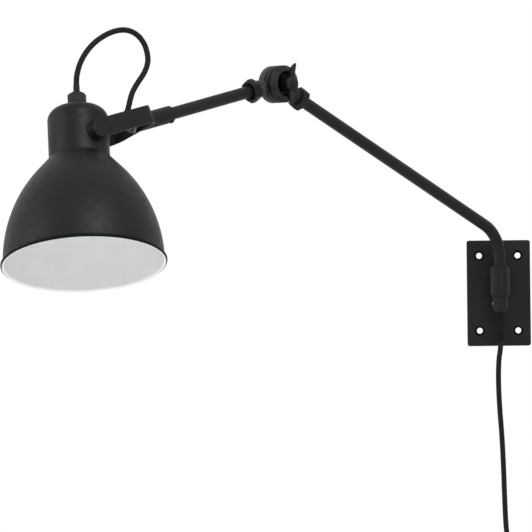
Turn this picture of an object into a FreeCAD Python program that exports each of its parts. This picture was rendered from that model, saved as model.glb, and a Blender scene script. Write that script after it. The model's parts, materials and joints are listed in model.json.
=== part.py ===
import FreeCAD, Part
import math
import os
import Sketcher
from FreeCAD import Placement, Rotation, Vector

# Articulating wall lamp, millimetres.
# Origin: centre of the wall plate's back face. +Z up, the lamp reaches out along -Y, +X to the right.
# The lamp stands as it hangs on its wall: arm swung out to the left, elbow high, shade tilted.

SIZES = {
    # wall plate
    "plate_width": 66.0,
    "plate_height": 110.0,
    "plate_thick": 3.0,
    "plate_corner": 2.0,
    "plate_edge": 0.6,
    "hole_pitch_wide": 40.0,
    "hole_pitch_high": 78.0,
    "hole_bore": 5.5,
    "hole_sink": 10.0,
    # swivel on the plate
    "axis_out": 28.0,
    "barrel_diameter": 20.0,
    "barrel_top": 26.5,
    "barrel_length": 28.5,
    "barrel_edge": 0.8,
    "web_width": 10.0,
    "web_height": 22.0,
    "web_screw_pitch": 13.0,
    "web_screw_bore": 4.0,
    "web_screw_head": 7.6,
    "web_screw_length": 13.0,
    "bush_wall": 1.4,
    "bush_flange": 1.0,
    "bush_flange_diameter": 18.0,
    "bush_length": 10.0,
    "stop_ring_diameter": 14.0,
    "stop_ring_height": 2.0,
    "running_gap": 0.1,
    "fit_gap": 0.05,
    "cut_past": 1.0,
    # collar under the swivel and the cord's strain relief
    "collar_diameter": 16.0,
    "collar_height": 16.4,
    "collar_floor": 3.5,
    "collar_chamfer": 3.0,
    "set_screw_bore": 4.0,
    "set_screw_proud": 0.6,
    "collar_screw_angle": -33.0,
    "collar_screw_depth": 7.9,
    "relief_top_diameter": 9.0,
    "relief_tip_diameter": 7.4,
    "relief_neck_diameter": 7.8,
    "relief_neck": 1.6,
    "relief_length": 27.0,
    "relief_flange": 1.8,
    # arm tubes
    "tube_diameter": 12.0,
    "tube_wall": 1.2,
    "tube_bend": 38.0,
    "arm_turn_angle": 43.0,
    "corner_height": 60.0,
    "lower_arm_rise_angle": 25.5,
    "lower_arm_length": 346.0,
    "upper_arm_drop_angle": 12.9,
    "upper_arm_offset": 4.3,
    "base_distance": 187.2,
    # elbow
    "knuckle_diameter": 36.6,
    "near_half_depth": 10.0,
    "near_bevel_depth": 3.4,
    "near_bevel_width": 4.8,
    "far_half_depth": 8.4,
    "knuckle_edge": 1.2,
    "recess_diameter": 25.0,
    "recess_depth": 6.0,
    "boss_start": 10.0,
    "boss_root_diameter": 17.0,
    "boss_root_reach": 23.0,
    "boss_taper": 1.5,
    "boss_diameter": 14.0,
    "boss_reach": 31.0,
    "socket_depth": 12.0,
    "knuckle_gap": 0.4,
    "disc_gap": 1.1,
    "disc_diameter": 30.0,
    "disc_thick": 1.0,
    "arm_nut_corners": 24.0,
    "arm_nut_height": 8.5,
    "arm_nut_reach": 36.0,
    "arm_nut_cover": 3.7,
    "arm_nut_dish": 18.0,
    "arm_nut_dish_depth": 2.5,
    "clamp_bolt_diameter": 8.0,
    "clamp_bolt_end": 25.5,
    "clamp_head_corners": 15.0,
    "clamp_head_height": 5.3,
    "clamp_washer_diameter": 20.0,
    "clamp_washer_thick": 1.6,
    "spring_washer_diameter": 14.0,
    "spring_washer_thick": 2.0,
    # wing nut
    "wing_hub_base": 15.0,
    "wing_hub_tip": 11.5,
    "wing_hub_height": 13.0,
    "wing_span": 40.0,
    "wing_thick": 3.6,
    "wing_root_rise": 3.2,
    "wing_tip_rise": 14.5,
    "wing_turn_angle": 5.0,
    # yoke
    "sleeve_diameter": 16.5,
    "sleeve_length": 46.0,
    "sleeve_end": 6.0,
    "sleeve_screw_back": 3.2,
    "sleeve_screw_angle": 12.0,
    "sleeve_edge": 0.8,
    "strap_width": 17.5,
    "strap_thick": 2.0,
    "yoke_roll_angle": 17.5,
    "yoke_base_width": 57.0,
    "yoke_splay_length": 44.0,
    "yoke_bend": 4.0,
    "pivot_distance": 72.2,
    "nipple_diameter": 10.0,
    "nipple_inside": 10.0,
    "nipple_nut_corners": 16.0,
    "nipple_nut_height": 4.0,
    "nipple_washer_diameter": 16.0,
    "nipple_washer_thick": 1.2,
    # shade pivots
    "pivot_bore": 5.0,
    "pivot_head": 9.0,
    "spacer_diameter": 19.5,
    "spacer_length": 5.75,
    "pivot_washer_diameter": 11.0,
    "pivot_washer_thick": 1.0,
    "pivot_washer_gap": 0.8,
    "pivot_nut_corners": 9.2,
    "pivot_nut_height": 3.0,
    "pivot_tail": 0.6,
    # shade
    "shade_tilt_angle": -23.6,
    "shade_wall": 1.2,
    "neck_diameter": 57.5,
    "neck_top": 31.0,
    "neck_shoulder": 12.0,
    "neck_bottom": -19.1,
    "cone_diameter": 82.6,
    "cone_drop": 14.0,
    "bell_curve": 132.0,
    "bell_diameter": 150.4,
    "rim_drop": 122.6,
    "bead_diameter": 3.6,
    # entry on top of the shade and lamp holder inside
    "entry_thread": 10.0,
    "entry_corners": 17.6,
    "entry_hex_height": 9.0,
    "entry_dome": 5.6,
    "entry_collar_diameter": 7.2,
    "entry_collar": 5.4,
    "entry_engagement": 8.0,
    "holder_engagement": 4.0,
    "holder_nut_height": 3.0,
    "holder_nut_corners": 16.0,
    "holder_diameter": 38.0,
    "holder_cap_height": 17.0,
    "holder_body_height": 30.0,
    "holder_wall": 2.0,
    "screw_shell_diameter": 27.6,
    "screw_shell_height": 19.0,
    "screw_shell_wall": 0.5,
    "contact_disc": 4.0,
    "contact_disc_height": 2.0,
    "contact_diameter": 9.0,
    "contact_height": 2.5,
    "contact_gap": 1.5,
    # cords
    "cord_diameter": 5.4,
    "cord_bore_gap": 0.1,
    "coil_mean_diameter": 60.0,
    "coil_pitch": 6.0,
    "coil_turns": 4.0,
    "coil_centre_right": 3.0,
    "coil_centre_drop": 356.0,
    "coil_entry_angle": 60.0,
    "coil_exit_angle": 90.0,
    "tie_width": 9.0,
    "tie_thick": 1.2,
    "tie_gap": 0.3,
    "plug_length": 34.0,
    "plug_width": 35.3,
    "plug_straight": 15.0,
    "plug_waist": 12.0,
    "plug_thick": 13.7,
    "plug_edge": 2.5,
    "plug_relief": 22.0,
    "plug_relief_root": 9.6,
    "plug_relief_tip": 7.4,
    "pin_diameter": 4.0,
    "pin_length": 19.0,
    "pin_pitch": 18.6,
    "pin_edge": 0.8,
}

doc = FreeCAD.newDocument("wall_lamp")
sheet = doc.addObject("Spreadsheet::Sheet", "Sizes")
for row, (alias, number) in enumerate(SIZES.items(), start=1):
    sheet.set(f"A{row}", alias)
    sheet.set(f"B{row}", str(number))
    sheet.setAlias(f"B{row}", alias)
doc.recompute()


class Size:
    """A size with its number and the sheet formula that drives it."""

    def __init__(self, number, formula):
        self.number = float(number)
        self.formula = formula

    def __float__(self):
        return self.number

    def __add__(self, other):
        other = as_size(other)
        return Size(self.number + other.number, f"({self.formula} + {other.formula})")

    def __sub__(self, other):
        other = as_size(other)
        return Size(self.number - other.number, f"({self.formula} - {other.formula})")

    def __mul__(self, other):
        other = as_size(other)
        return Size(self.number * other.number, f"({self.formula} * {other.formula})")

    def __truediv__(self, other):
        other = as_size(other)
        return Size(self.number / other.number, f"({self.formula} / {other.formula})")

    def __neg__(self):
        return Size(-self.number, f"(-1 * {self.formula})")


def as_size(value):
    return value if isinstance(value, Size) else Size(value, repr(float(value)))


def cosine(angle):
    return Size(math.cos(math.radians(angle.number)), f"cos({angle.formula})")


def sine(angle):
    return Size(math.sin(math.radians(angle.number)), f"sin({angle.formula})")


def tangent(angle):
    return Size(math.tan(math.radians(angle.number)), f"tan({angle.formula})")


def root_of(value):
    return Size(math.sqrt(value.number), f"sqrt({value.formula})")


class SheetSizes:
    """Gives each alias of the sheet as a Size."""

    def __getattr__(self, alias):
        return Size(sheet.get(alias), f"Sizes.{alias}")


size = SheetSizes()
X_AXIS = Vector(1, 0, 0)
Y_AXIS = Vector(0, 1, 0)
Z_AXIS = Vector(0, 0, 1)
ORIGIN = -1  # the sketch's own origin point and axes
V_AXIS = "V_Axis"
H_AXIS = "H_Axis"
parts = []


# ---------------------------------------------------------------- sketch and feature helpers
def start_body(label):
    body = doc.addObject("PartDesign::Body", label)
    body.Label = label
    parts.append(body)
    return body


def plane_of(body, role):
    for feature in body.Origin.OriginFeatures:
        if feature.Role == role:
            return feature
    raise ValueError(role)


def new_sketch(body, role, offset=None):
    """A sketch on one of the body's own origin planes, or offset from it along its normal."""
    sketch = body.newObject("Sketcher::SketchObject", body.Name + "_sketch")
    sketch.AttachmentSupport = [(plane_of(body, role), "")]
    sketch.MapMode = "FlatFace"
    if offset is not None:
        sketch.AttachmentOffset = Placement(Vector(0, 0, float(offset)), Rotation())
        sketch.setExpression(".AttachmentOffset.Base.z", offset.formula)
    return sketch


def pin_point(sketch, geometry, end, x, y):
    """Fixes one end of a sketch line or arc by its two sizes from the sketch's origin."""
    for kind, level, place in (("DistanceX", "Vertical", x), ("DistanceY", "Horizontal", y)):
        if not isinstance(place, Size):
            sketch.addConstraint(Sketcher.Constraint(level, geometry, end, ORIGIN, 1))
            continue
        index = sketch.addConstraint(
            Sketcher.Constraint(kind, ORIGIN, 1, geometry, end, place.number))
        sketch.setExpression(f"Constraints[{index}]", place.formula)


def arc_between(first, last, radius, bulge):
    """Arc from first to last. bulge is +1 when it turns left on the way, -1 when it turns right."""
    chord = last - first
    half = chord.Length / 2.0
    height = math.sqrt(max(radius ** 2 - half ** 2, 0.0))
    left = Vector(-chord.y, chord.x, 0).normalize()
    centre = (first + last) / 2.0 + left * (height * bulge)
    middle = centre - left * (radius * bulge)
    return Part.Arc(first, middle, last)


def add_outline(sketch, points, arcs=None):
    """Closed outline through points. A size of 0 is written as plain 0 and lies on the axis.
    arcs maps a side's number to (radius, bulge)."""
    arcs = arcs or {}
    base = sketch.GeometryCount
    places = [Vector(float(x), float(y), 0) for x, y in points]
    ends = []
    for side, first in enumerate(places):
        last = places[(side + 1) % len(places)]
        if side in arcs:
            radius, bulge = arcs[side]
            sketch.addGeometry(arc_between(first, last, float(radius), bulge), False)
            ends.append((1, 2) if bulge > 0 else (2, 1))
        else:
            sketch.addGeometry(Part.LineSegment(first, last), False)
            ends.append((1, 2))
    for side in range(len(places)):
        after = (side + 1) % len(places)
        sketch.addConstraint(
            Sketcher.Constraint("Coincident", base + side, ends[side][1], base + after, ends[after][0]))
    for side, (x, y) in enumerate(points):
        pin_point(sketch, base + side, ends[side][0], x, y)
    for side, (radius, _) in arcs.items():
        index = sketch.addConstraint(Sketcher.Constraint("Radius", base + side, float(radius)))
        sketch.setExpression(f"Constraints[{index}]", radius.formula)
    return sketch


def add_circle(sketch, x, y, diameter):
    centre = Vector(float(x), float(y), 0)
    circle = sketch.addGeometry(Part.Circle(centre, Z_AXIS, float(diameter) / 2.0), False)
    pin_point(sketch, circle, 3, x, y)
    index = sketch.addConstraint(Sketcher.Constraint("Diameter", circle, float(diameter)))
    sketch.setExpression(f"Constraints[{index}]", diameter.formula)
    return sketch


def bind(feature, name, value):
    setattr(feature, name, float(value))
    feature.setExpression(name, value.formula)


def turn(body, sketch, axis, cut=False):
    """Full turn of a sketch about one of its axes, as added material or as a cut."""
    kind = "PartDesign::Groove" if cut else "PartDesign::Revolution"
    feature = body.newObject(kind, body.Name + ("_groove" if cut else "_turn"))
    feature.Profile = sketch
    feature.ReferenceAxis = (sketch, [axis])
    feature.Angle = 360.0
    return finish_feature(body, cut)


def pad(body, sketch, length, middle=False, reverse=False):
    feature = body.newObject("PartDesign::Pad", body.Name + "_pad")
    return extrude(body, feature, sketch, length, middle, reverse, cut=False)


def pocket(body, sketch, length, middle=False, reverse=False):
    feature = body.newObject("PartDesign::Pocket", body.Name + "_pocket")
    return extrude(body, feature, sketch, length, middle, reverse, cut=True)


def extrude(body, feature, sketch, length, middle, reverse, cut):
    feature.Profile = sketch
    bind(feature, "Length", length)
    feature.SideType = "Symmetric" if middle else "One side"
    feature.Reversed = reverse
    return finish_feature(body, cut)


def countersink(body, sketch, bore, head, reverse=False):
    """Drills each circle of the sketch right through, with a 90 degree countersink."""
    doc.recompute()
    hole = body.newObject("PartDesign::Hole", body.Name + "_hole")
    hole.Profile = sketch
    hole.DepthType = "ThroughAll"
    bind(hole, "Diameter", bore)
    hole.HoleCutType = "Countersink"
    bind(hole, "HoleCutDiameter", head)
    hole.HoleCutCountersinkAngle = 90.0
    hole.Reversed = reverse
    return finish_feature(body, cut=True)


def finish_feature(body, cut):
    """Recomputes and makes sure that the feature really added or removed material."""
    before = volumes.get(body.Name, 0.0)
    doc.recompute()
    after = body.Shape.Volume
    if cut and not after < before or not cut and not after > before:
        raise ValueError(f"{body.Label}: the last feature changed nothing")
    volumes[body.Name] = after
    return body


volumes = {}


def lathe(label, profile, arcs=None):
    """A turned piece about its own Z axis, from (radius, height) points."""
    body = start_body(label)
    turn(body, add_outline(new_sketch(body, "XZ_Plane"), profile, arcs), V_AXIS)
    return body


def ring(label, outer, inner, height):
    """A plain ring standing on its own XY plane."""
    out = outer / 2
    bore = inner / 2
    return lathe(label, [(bore, 0), (out, 0), (out, height), (bore, height)])


def hexagon(corners):
    reach = corners / 2
    flat = reach * math.cos(math.radians(30))
    return [(reach, 0), (reach / 2, flat), (-(reach / 2), flat),
            (-reach, 0), (-(reach / 2), -flat), (reach / 2, -flat)]


def hex_piece(label, corners, height, bore=None):
    """A hexagonal nut on its own XY plane, its corners turned down at both ends."""
    body = start_body(label)
    sketch = add_outline(new_sketch(body, "XY_Plane"), hexagon(corners))
    if bore is not None:
        add_circle(sketch, 0, 0, bore)
    pad(body, sketch, height)
    reach = corners / 2
    inner = reach * 0.90
    rise = (reach - inner) * 0.6
    past = reach + size.cut_past
    turn_down = past - inner
    for low, up in ((as_size(0.0), 1), (height, -1)):
        edge = new_sketch(body, "XZ_Plane")
        add_outline(edge, [(inner, low - size.cut_past * 0.01 * up), (past, low - size.cut_past * 0.01 * up),
                           (past, low + turn_down * 0.6 * up)])
        turn(body, edge, V_AXIS, cut=True)
    return body


def set_place(piece, frame, local=None):
    piece.Placement = frame.multiply(local) if local is not None else frame


def along_x(distance=0.0):
    """Turns a piece's own Z axis onto X and shifts it along X."""
    return Placement(Vector(distance, 0, 0), Rotation(Y_AXIS, 90))


def along_y(distance=0.0, x=0.0, z=0.0):
    """Turns a piece's own Z axis onto Y and shifts it along Y."""
    return Placement(Vector(x, distance, z), Rotation(X_AXIS, -90))


def group(label, shapes):
    """Identical separate pieces that share one node."""
    feature = doc.addObject("Part::Feature", label)
    feature.Label = label
    feature.Shape = Part.makeCompound(shapes)
    parts.append(feature)
    return feature


def spun(points):
    """A plain turned solid about Z, from (radius, height) points."""
    corners = [Vector(float(radius), 0, float(height)) for radius, height in points]
    outline = Part.makePolygon(corners + corners[:1])
    return Part.Face(outline).revolve(Vector(), Z_AXIS, 360)


def moved(shape, placement):
    copy = shape.copy()
    copy.Placement = placement.multiply(copy.Placement)
    return copy


def upright_edges(body, x, y):
    """Names of the edges that stand along Z at one place."""
    names = []
    for number, edge in enumerate(body.Shape.Edges, start=1):
        ends = [vertex.Point for vertex in edge.Vertexes]
        if len(ends) == 2 and all(abs(end.x - x) < 0.01 and abs(end.y - y) < 0.01 for end in ends):
            names.append(f"Edge{number}")
    return names


def fillet(body, edges, radius):
    base = body.Tip
    rounding = body.newObject("PartDesign::Fillet", body.Name + "_fillet")
    rounding.Base = (base, edges)
    bind(rounding, "Radius", radius)
    doc.recompute()
    if not rounding.isValid():
        raise ValueError(f"{body.Label}: {rounding.State}")
    volumes[body.Name] = body.Shape.Volume


def chamfer(body, edges, width):
    base = body.Tip
    softened = body.newObject("PartDesign::Chamfer", body.Name + "_chamfer")
    softened.Base = (base, edges)
    bind(softened, "Size", width)
    doc.recompute()
    if not softened.isValid():
        raise ValueError(f"{body.Label}: {softened.State}")
    volumes[body.Name] = body.Shape.Volume


def sweep(body, profile, path):
    """Runs a profile along a path of lines and arcs."""
    pipe = body.newObject("PartDesign::AdditivePipe", body.Name + "_pipe")
    pipe.Profile = profile
    pipe.Spine = path
    return finish_feature(body, cut=False)


# ---------------------------------------------------------------- frames of the moving bodies
wall = Placement()
arm = Placement(Vector(0, -float(size.axis_out), 0), Rotation(Z_AXIS, 180 + float(size.arm_turn_angle)))
rise = math.radians(float(size.lower_arm_rise_angle))
elbow_point = Vector(float(size.lower_arm_length) * math.cos(rise), 0,
                     float(size.corner_height) + float(size.lower_arm_length) * math.sin(rise))
lower_knuckle_frame = arm.multiply(
    Placement(elbow_point, Rotation(Y_AXIS, 180 - float(size.lower_arm_rise_angle))))
hinge_frame = arm.multiply(Placement(elbow_point, Rotation()))
upper_frame = arm.multiply(
    Placement(elbow_point - Y_AXIS * float(size.upper_arm_offset),
              Rotation(Y_AXIS, float(size.upper_arm_drop_angle))))
yoke_frame = upper_frame.multiply(
    Placement(X_AXIS * float(size.base_distance), Rotation(X_AXIS, float(size.yoke_roll_angle))))
pivot_frame = yoke_frame.multiply(Placement(X_AXIS * float(size.pivot_distance), Rotation()))
shade_frame = pivot_frame.multiply(Placement(Vector(), Rotation(Y_AXIS, float(size.shade_tilt_angle))))

# sizes that several pieces share
tube_bore = size.tube_diameter - size.tube_wall * 2
tube_seat = size.tube_diameter + size.fit_gap * 2
barrel_bore = size.tube_diameter + size.bush_wall * 2 + size.fit_gap * 2
barrel_low = size.barrel_top - size.barrel_length
web_centre = size.barrel_top - size.barrel_length / 2
web_reach = size.axis_out - size.plate_thick
collar_top = barrel_low - size.bush_flange - size.running_gap
collar_low = collar_top - size.collar_height
tube_low = collar_low + size.collar_floor + size.relief_flange + size.running_gap
relief_low = collar_low - size.relief_neck - size.relief_length
cord_bore = size.cord_diameter + size.cord_bore_gap * 2
boss_socket = size.boss_reach - size.socket_depth + size.running_gap
recess_floor = size.near_half_depth + size.near_bevel_depth - size.recess_depth
bolt_bore = size.clamp_bolt_diameter + size.fit_gap * 2
near_face = size.upper_arm_offset - size.disc_gap
far_face = near_face - size.far_half_depth
wing_seat = recess_floor + size.clamp_washer_thick + size.spring_washer_thick + size.running_gap
nipple_seat = size.nipple_diameter + size.fit_gap * 2
upper_tube_end = size.base_distance - size.sleeve_end - size.fit_gap * 10
neck_radius = size.neck_diameter / 2
neck_inside = neck_radius - size.shade_wall
leg_inside = neck_radius + size.spacer_length
shade_under = size.neck_top - size.shade_wall
holder_top = shade_under - size.holder_nut_height
holder_split = holder_top - size.holder_cap_height
holder_low = holder_split - size.holder_body_height
entry_top = size.neck_top + size.entry_hex_height + size.entry_dome + size.entry_collar


# ---------------------------------------------------------------- wall plate and swivel
def make_wall_plate():
    body = start_body("wall_plate")
    half_wide = size.plate_width / 2
    half_high = size.plate_height / 2
    pad(body, add_outline(new_sketch(body, "XZ_Plane"), [
        (half_wide, -half_high), (half_wide, half_high),
        (-half_wide, half_high), (-half_wide, -half_high)]), size.plate_thick)
    corners = [f"Edge{n + 1}" for n, edge in enumerate(body.Shape.Edges)
               if abs(edge.Length - float(size.plate_thick)) < 1e-6]
    fillet(body, corners, size.plate_corner)
    front = min(body.Shape.Faces, key=lambda face: face.CenterOfMass.y)
    edges = [f"Edge{n + 1}" for n, edge in enumerate(body.Shape.Edges)
             if any(edge.isSame(other) for other in front.Edges)]
    chamfer(body, edges, size.plate_edge)
    wall_holes = new_sketch(body, "XZ_Plane", size.plate_thick)
    for side in (-1, 1):
        for level in (-1, 1):
            add_circle(wall_holes, size.hole_pitch_wide / 2 * side, size.hole_pitch_high / 2 * level,
                       size.hole_bore)
    countersink(body, wall_holes, size.hole_bore, size.hole_sink)
    web_holes = new_sketch(body, "XZ_Plane")
    web_hole_bore = size.web_screw_bore + size.fit_gap * 2
    for level in (-1, 1):
        add_circle(web_holes, 0, web_centre + size.web_screw_pitch / 2 * level, web_hole_bore)
    countersink(body, web_holes, web_hole_bore, size.web_screw_head, reverse=True)
    set_place(body, wall)


def make_swivel_barrel():
    body = start_body("swivel_barrel")
    outer = size.barrel_diameter / 2
    edge = size.barrel_edge
    turn(body, add_outline(new_sketch(body, "XZ_Plane"), [
        (0, 0), (outer - edge, 0), (outer, edge), (outer, size.barrel_length - edge),
        (outer - edge, size.barrel_length), (0, size.barrel_length)]), V_AXIS)
    half = size.web_width / 2
    middle = size.barrel_length / 2
    low = middle - size.web_height / 2
    high = middle + size.web_height / 2
    pad(body, add_outline(new_sketch(body, "XZ_Plane"), [
        (half, low), (half, high), (-half, high), (-half, low)]), web_reach, reverse=True)
    bore = new_sketch(body, "XY_Plane")
    add_circle(bore, 0, 0, barrel_bore)
    pocket(body, bore, size.barrel_length + size.cut_past, reverse=True)
    screws = new_sketch(body, "XZ_Plane", -web_reach)
    for level in (-1, 1):
        add_circle(screws, 0, middle + size.web_screw_pitch / 2 * level,
                   size.web_screw_bore + size.fit_gap * 2)
    pocket(body, screws, size.web_screw_length - size.plate_thick + size.cut_past, reverse=True)
    set_place(body, Placement(Vector(0, -float(size.axis_out), float(barrel_low)), Rotation()))


def make_barrel_screws():
    head = size.web_screw_head / 2 - size.fit_gap
    shank = size.web_screw_bore / 2
    screw = spun([(0, 0), (head, 0), (shank, head - shank), (shank, size.web_screw_length),
                  (0, size.web_screw_length)])
    screws = []
    for level in (-1, 1):
        height = float(web_centre) + level * float(size.web_screw_pitch) / 2
        screws.append(moved(screw, Placement(Vector(0, 0, height), Rotation(X_AXIS, 90))))
    group("barrel_screws", screws)


def make_bushes():
    bore = tube_seat / 2
    outer = size.tube_diameter / 2 + size.bush_wall
    flange = size.bush_flange_diameter / 2
    for label, foot, turned in (("upper_bush", size.barrel_top, 0),
                                ("lower_bush", barrel_low, 180)):
        bush = lathe(label, [
            (bore, -size.bush_length), (outer, -size.bush_length), (outer, 0),
            (flange, 0), (flange, size.bush_flange), (bore, size.bush_flange)])
        place = Vector(0, -float(size.axis_out), float(foot))
        set_place(bush, Placement(place, Rotation(X_AXIS, turned)))


# ---------------------------------------------------------------- lower arm
def make_stop_ring():
    piece = ring("stop_ring", size.stop_ring_diameter, tube_seat, size.stop_ring_height)
    height = float(size.barrel_top + size.bush_flange + size.running_gap)
    set_place(piece, arm, Placement(Vector(0, 0, height), Rotation()))


def make_collar():
    outer = size.collar_diameter / 2
    neck = size.relief_neck_diameter / 2 + size.fit_gap
    body = lathe("collar", [
        (neck, 0), (outer - size.collar_chamfer, 0), (outer, size.collar_chamfer),
        (outer, size.collar_height), (tube_seat / 2, size.collar_height),
        (tube_seat / 2, size.collar_floor), (neck, size.collar_floor)])
    hole = new_sketch(body, "YZ_Plane")
    screw_height = size.collar_height - size.collar_screw_depth
    add_circle(hole, 0, screw_height, size.set_screw_bore + size.fit_gap * 2)
    pocket(body, hole, outer + size.cut_past, reverse=True)
    turned = Rotation(Z_AXIS, float(size.collar_screw_angle))
    set_place(body, arm, Placement(Vector(0, 0, float(collar_low)), turned))
    screw = set_screw("collar_set_screw", size.collar_diameter)
    set_place(screw, body.Placement, along_x_at(0, screw_height))


def set_screw(label, over):
    """A set screw standing on the tube, its end just proud of what it is screwed through."""
    length = over / 2 - tube_seat / 2 + size.set_screw_proud
    radius = size.set_screw_bore / 2
    dimple = radius / 2
    foot = tube_seat / 2
    return lathe(label, [
        (0, foot), (radius, foot), (radius, foot + length), (dimple, foot + length),
        (dimple, foot + length - dimple), (0, foot + length - dimple)])


def make_strain_relief():
    bore = cord_bore / 2
    neck = size.relief_neck_diameter / 2
    root = size.relief_length
    shoulder = root + size.relief_neck
    seat = shoulder + size.collar_floor
    flange = tube_seat / 2 - size.fit_gap * 4
    piece = lathe("strain_relief", [
        (bore, 0), (size.relief_tip_diameter / 2, 0), (size.relief_top_diameter / 2, root),
        (neck, root), (neck, seat), (flange, seat), (flange, seat + size.relief_flange),
        (bore, seat + size.relief_flange)])
    set_place(piece, arm, Placement(Vector(0, 0, float(relief_low)), Rotation()))


def arm_path(body, low, reach):
    """Up from low, round the bend and along the rising arm as far as reach from the elbow."""
    run = size.tube_bend * tangent((as_size(90.0) - size.lower_arm_rise_angle) / 2)
    slope = (cosine(size.lower_arm_rise_angle), sine(size.lower_arm_rise_angle))
    last = size.lower_arm_length - reach
    places = [
        (0, low), (0, size.corner_height - run),
        (run * slope[0], size.corner_height + run * slope[1]),
        (last * slope[0], size.corner_height + last * slope[1])]
    sketch = new_sketch(body, "XZ_Plane")
    points = [Vector(float(x), float(z), 0) for x, z in places]
    sketch.addGeometry(Part.LineSegment(points[0], points[1]), False)
    sketch.addGeometry(arc_between(points[1], points[2], float(size.tube_bend), -1), False)
    sketch.addGeometry(Part.LineSegment(points[2], points[3]), False)
    sketch.addConstraint(Sketcher.Constraint("Coincident", 0, 2, 1, 2))
    sketch.addConstraint(Sketcher.Constraint("Coincident", 1, 1, 2, 1))
    for geometry, end, place in ((0, 1, 0), (0, 2, 1), (2, 1, 2), (2, 2, 3)):
        pin_point(sketch, geometry, end, *places[place])
    radius = sketch.addConstraint(Sketcher.Constraint("Radius", 1, float(size.tube_bend)))
    sketch.setExpression(f"Constraints[{radius}]", size.tube_bend.formula)
    return sketch


def make_lower_arm():
    body = start_body("lower_arm")
    path = arm_path(body, tube_low, boss_socket)
    section = new_sketch(body, "XY_Plane", tube_low)
    add_circle(section, 0, 0, size.tube_diameter)
    add_circle(section, 0, 0, tube_bore)
    sweep(body, section, path)
    set_place(body, arm)
    cord = start_body("inner_cord_lower")
    cord_path = arm_path(cord, relief_low, boss_socket + size.fit_gap * 20)
    cord_section = new_sketch(cord, "XY_Plane", relief_low)
    add_circle(cord_section, 0, 0, size.cord_diameter)
    sweep(cord, cord_section, cord_path)
    set_place(cord, arm)


# ---------------------------------------------------------------- elbow
def add_boss(body):
    """The round boss that reaches out along X for the tube, and steps down under its nut."""
    turn(body, add_outline(new_sketch(body, "XY_Plane"), [
        (size.boss_start, 0), (size.boss_reach, 0), (size.boss_reach, size.boss_diameter / 2),
        (size.boss_root_reach + size.boss_taper, size.boss_diameter / 2),
        (size.boss_root_reach, size.boss_root_diameter / 2),
        (size.boss_start, size.boss_root_diameter / 2)]), H_AXIS)


def cut_about_hinge(body, radius, low, high):
    """Clears a round space about the hinge axis between two places along it."""
    turn(body, add_outline(new_sketch(body, "XY_Plane"), [
        (0, low), (radius, low), (radius, high), (0, high)]), V_AXIS, cut=True)


def cut_socket(body):
    turn(body, add_outline(new_sketch(body, "XY_Plane"), [
        (boss_socket, 0), (size.boss_reach + size.cut_past, 0),
        (size.boss_reach + size.cut_past, tube_seat / 2), (boss_socket, tube_seat / 2)]), H_AXIS, cut=True)


def make_knuckle_lower():
    body = start_body("knuckle_lower")
    outer = size.knuckle_diameter / 2
    shoulder = size.near_half_depth
    top = shoulder + size.near_bevel_depth
    turn(body, add_outline(new_sketch(body, "XY_Plane"), [
        (0, 0), (outer, 0), (outer, shoulder), (outer - size.near_bevel_width, top), (0, top)]), V_AXIS)
    add_boss(body)
    below = -size.boss_root_diameter
    cut_about_hinge(body, outer + size.knuckle_gap, below, 0)
    cut_about_hinge(body, size.recess_diameter / 2, recess_floor, top + size.cut_past)
    cut_about_hinge(body, bolt_bore / 2, -size.cut_past, recess_floor + size.cut_past)
    cut_socket(body)
    set_place(body, lower_knuckle_frame)


def make_knuckle_upper():
    body = start_body("knuckle_upper")
    outer = size.knuckle_diameter / 2
    edge = size.knuckle_edge
    turn(body, add_outline(new_sketch(body, "XY_Plane"), [
        (0, far_face), (outer - edge, far_face), (outer, far_face + edge), (outer, near_face),
        (0, near_face)]), V_AXIS)
    add_boss(body)
    cut_about_hinge(body, outer + size.knuckle_gap, near_face, size.boss_root_diameter)
    cut_about_hinge(body, bolt_bore / 2, far_face - size.cut_past, near_face + size.cut_past)
    cut_socket(body)
    set_place(body, upper_frame)


def make_arm_nut(label, frame):
    body = hex_piece(label, size.arm_nut_corners, size.arm_nut_height, tube_seat)
    seat = size.boss_diameter / 2 + size.fit_gap
    turn(body, add_outline(new_sketch(body, "XZ_Plane"), [
        (0, -size.cut_past), (seat, -size.cut_past), (seat, size.arm_nut_cover),
        (0, size.arm_nut_cover)]), V_AXIS, cut=True)
    dish = size.arm_nut_height - size.arm_nut_dish_depth
    turn(body, add_outline(new_sketch(body, "XZ_Plane"), [
        (0, dish), (tube_seat / 2, dish), (size.arm_nut_dish / 2, size.arm_nut_height),
        (size.arm_nut_dish / 2, size.arm_nut_height + size.cut_past),
        (0, size.arm_nut_height + size.cut_past)]), V_AXIS, cut=True)
    set_place(body, frame, along_x(float(size.arm_nut_reach - size.arm_nut_height)))


def make_elbow_stack():
    """The washers under the wing nut, the friction disc between the halves and the clamp bolt."""
    washer = ring("clamp_washer", size.clamp_washer_diameter, bolt_bore, size.clamp_washer_thick)
    set_place(washer, hinge_frame, along_y(float(recess_floor)))
    spring = ring("spring_washer", size.spring_washer_diameter, bolt_bore, size.spring_washer_thick)
    set_place(spring, hinge_frame, along_y(float(recess_floor + size.clamp_washer_thick)))
    disc = ring("friction_disc", size.disc_diameter, bolt_bore, size.disc_thick)
    set_place(disc, hinge_frame, along_y(float(-size.disc_gap)))
    bolt = start_body("clamp_bolt")
    pad(bolt, add_outline(new_sketch(bolt, "XY_Plane"), hexagon(size.clamp_head_corners)),
        size.clamp_head_height)
    shank = size.clamp_bolt_diameter / 2
    tip = size.clamp_bolt_end + size.disc_gap + size.far_half_depth + size.clamp_head_height
    turn(bolt, add_outline(new_sketch(bolt, "XZ_Plane"), [
        (0, size.clamp_head_height / 2), (shank, size.clamp_head_height / 2),
        (shank, tip - size.pin_edge), (shank - size.pin_edge, tip), (0, tip)]), V_AXIS)
    set_place(bolt, hinge_frame, along_y(float(size.clamp_bolt_end - tip)))


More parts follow.
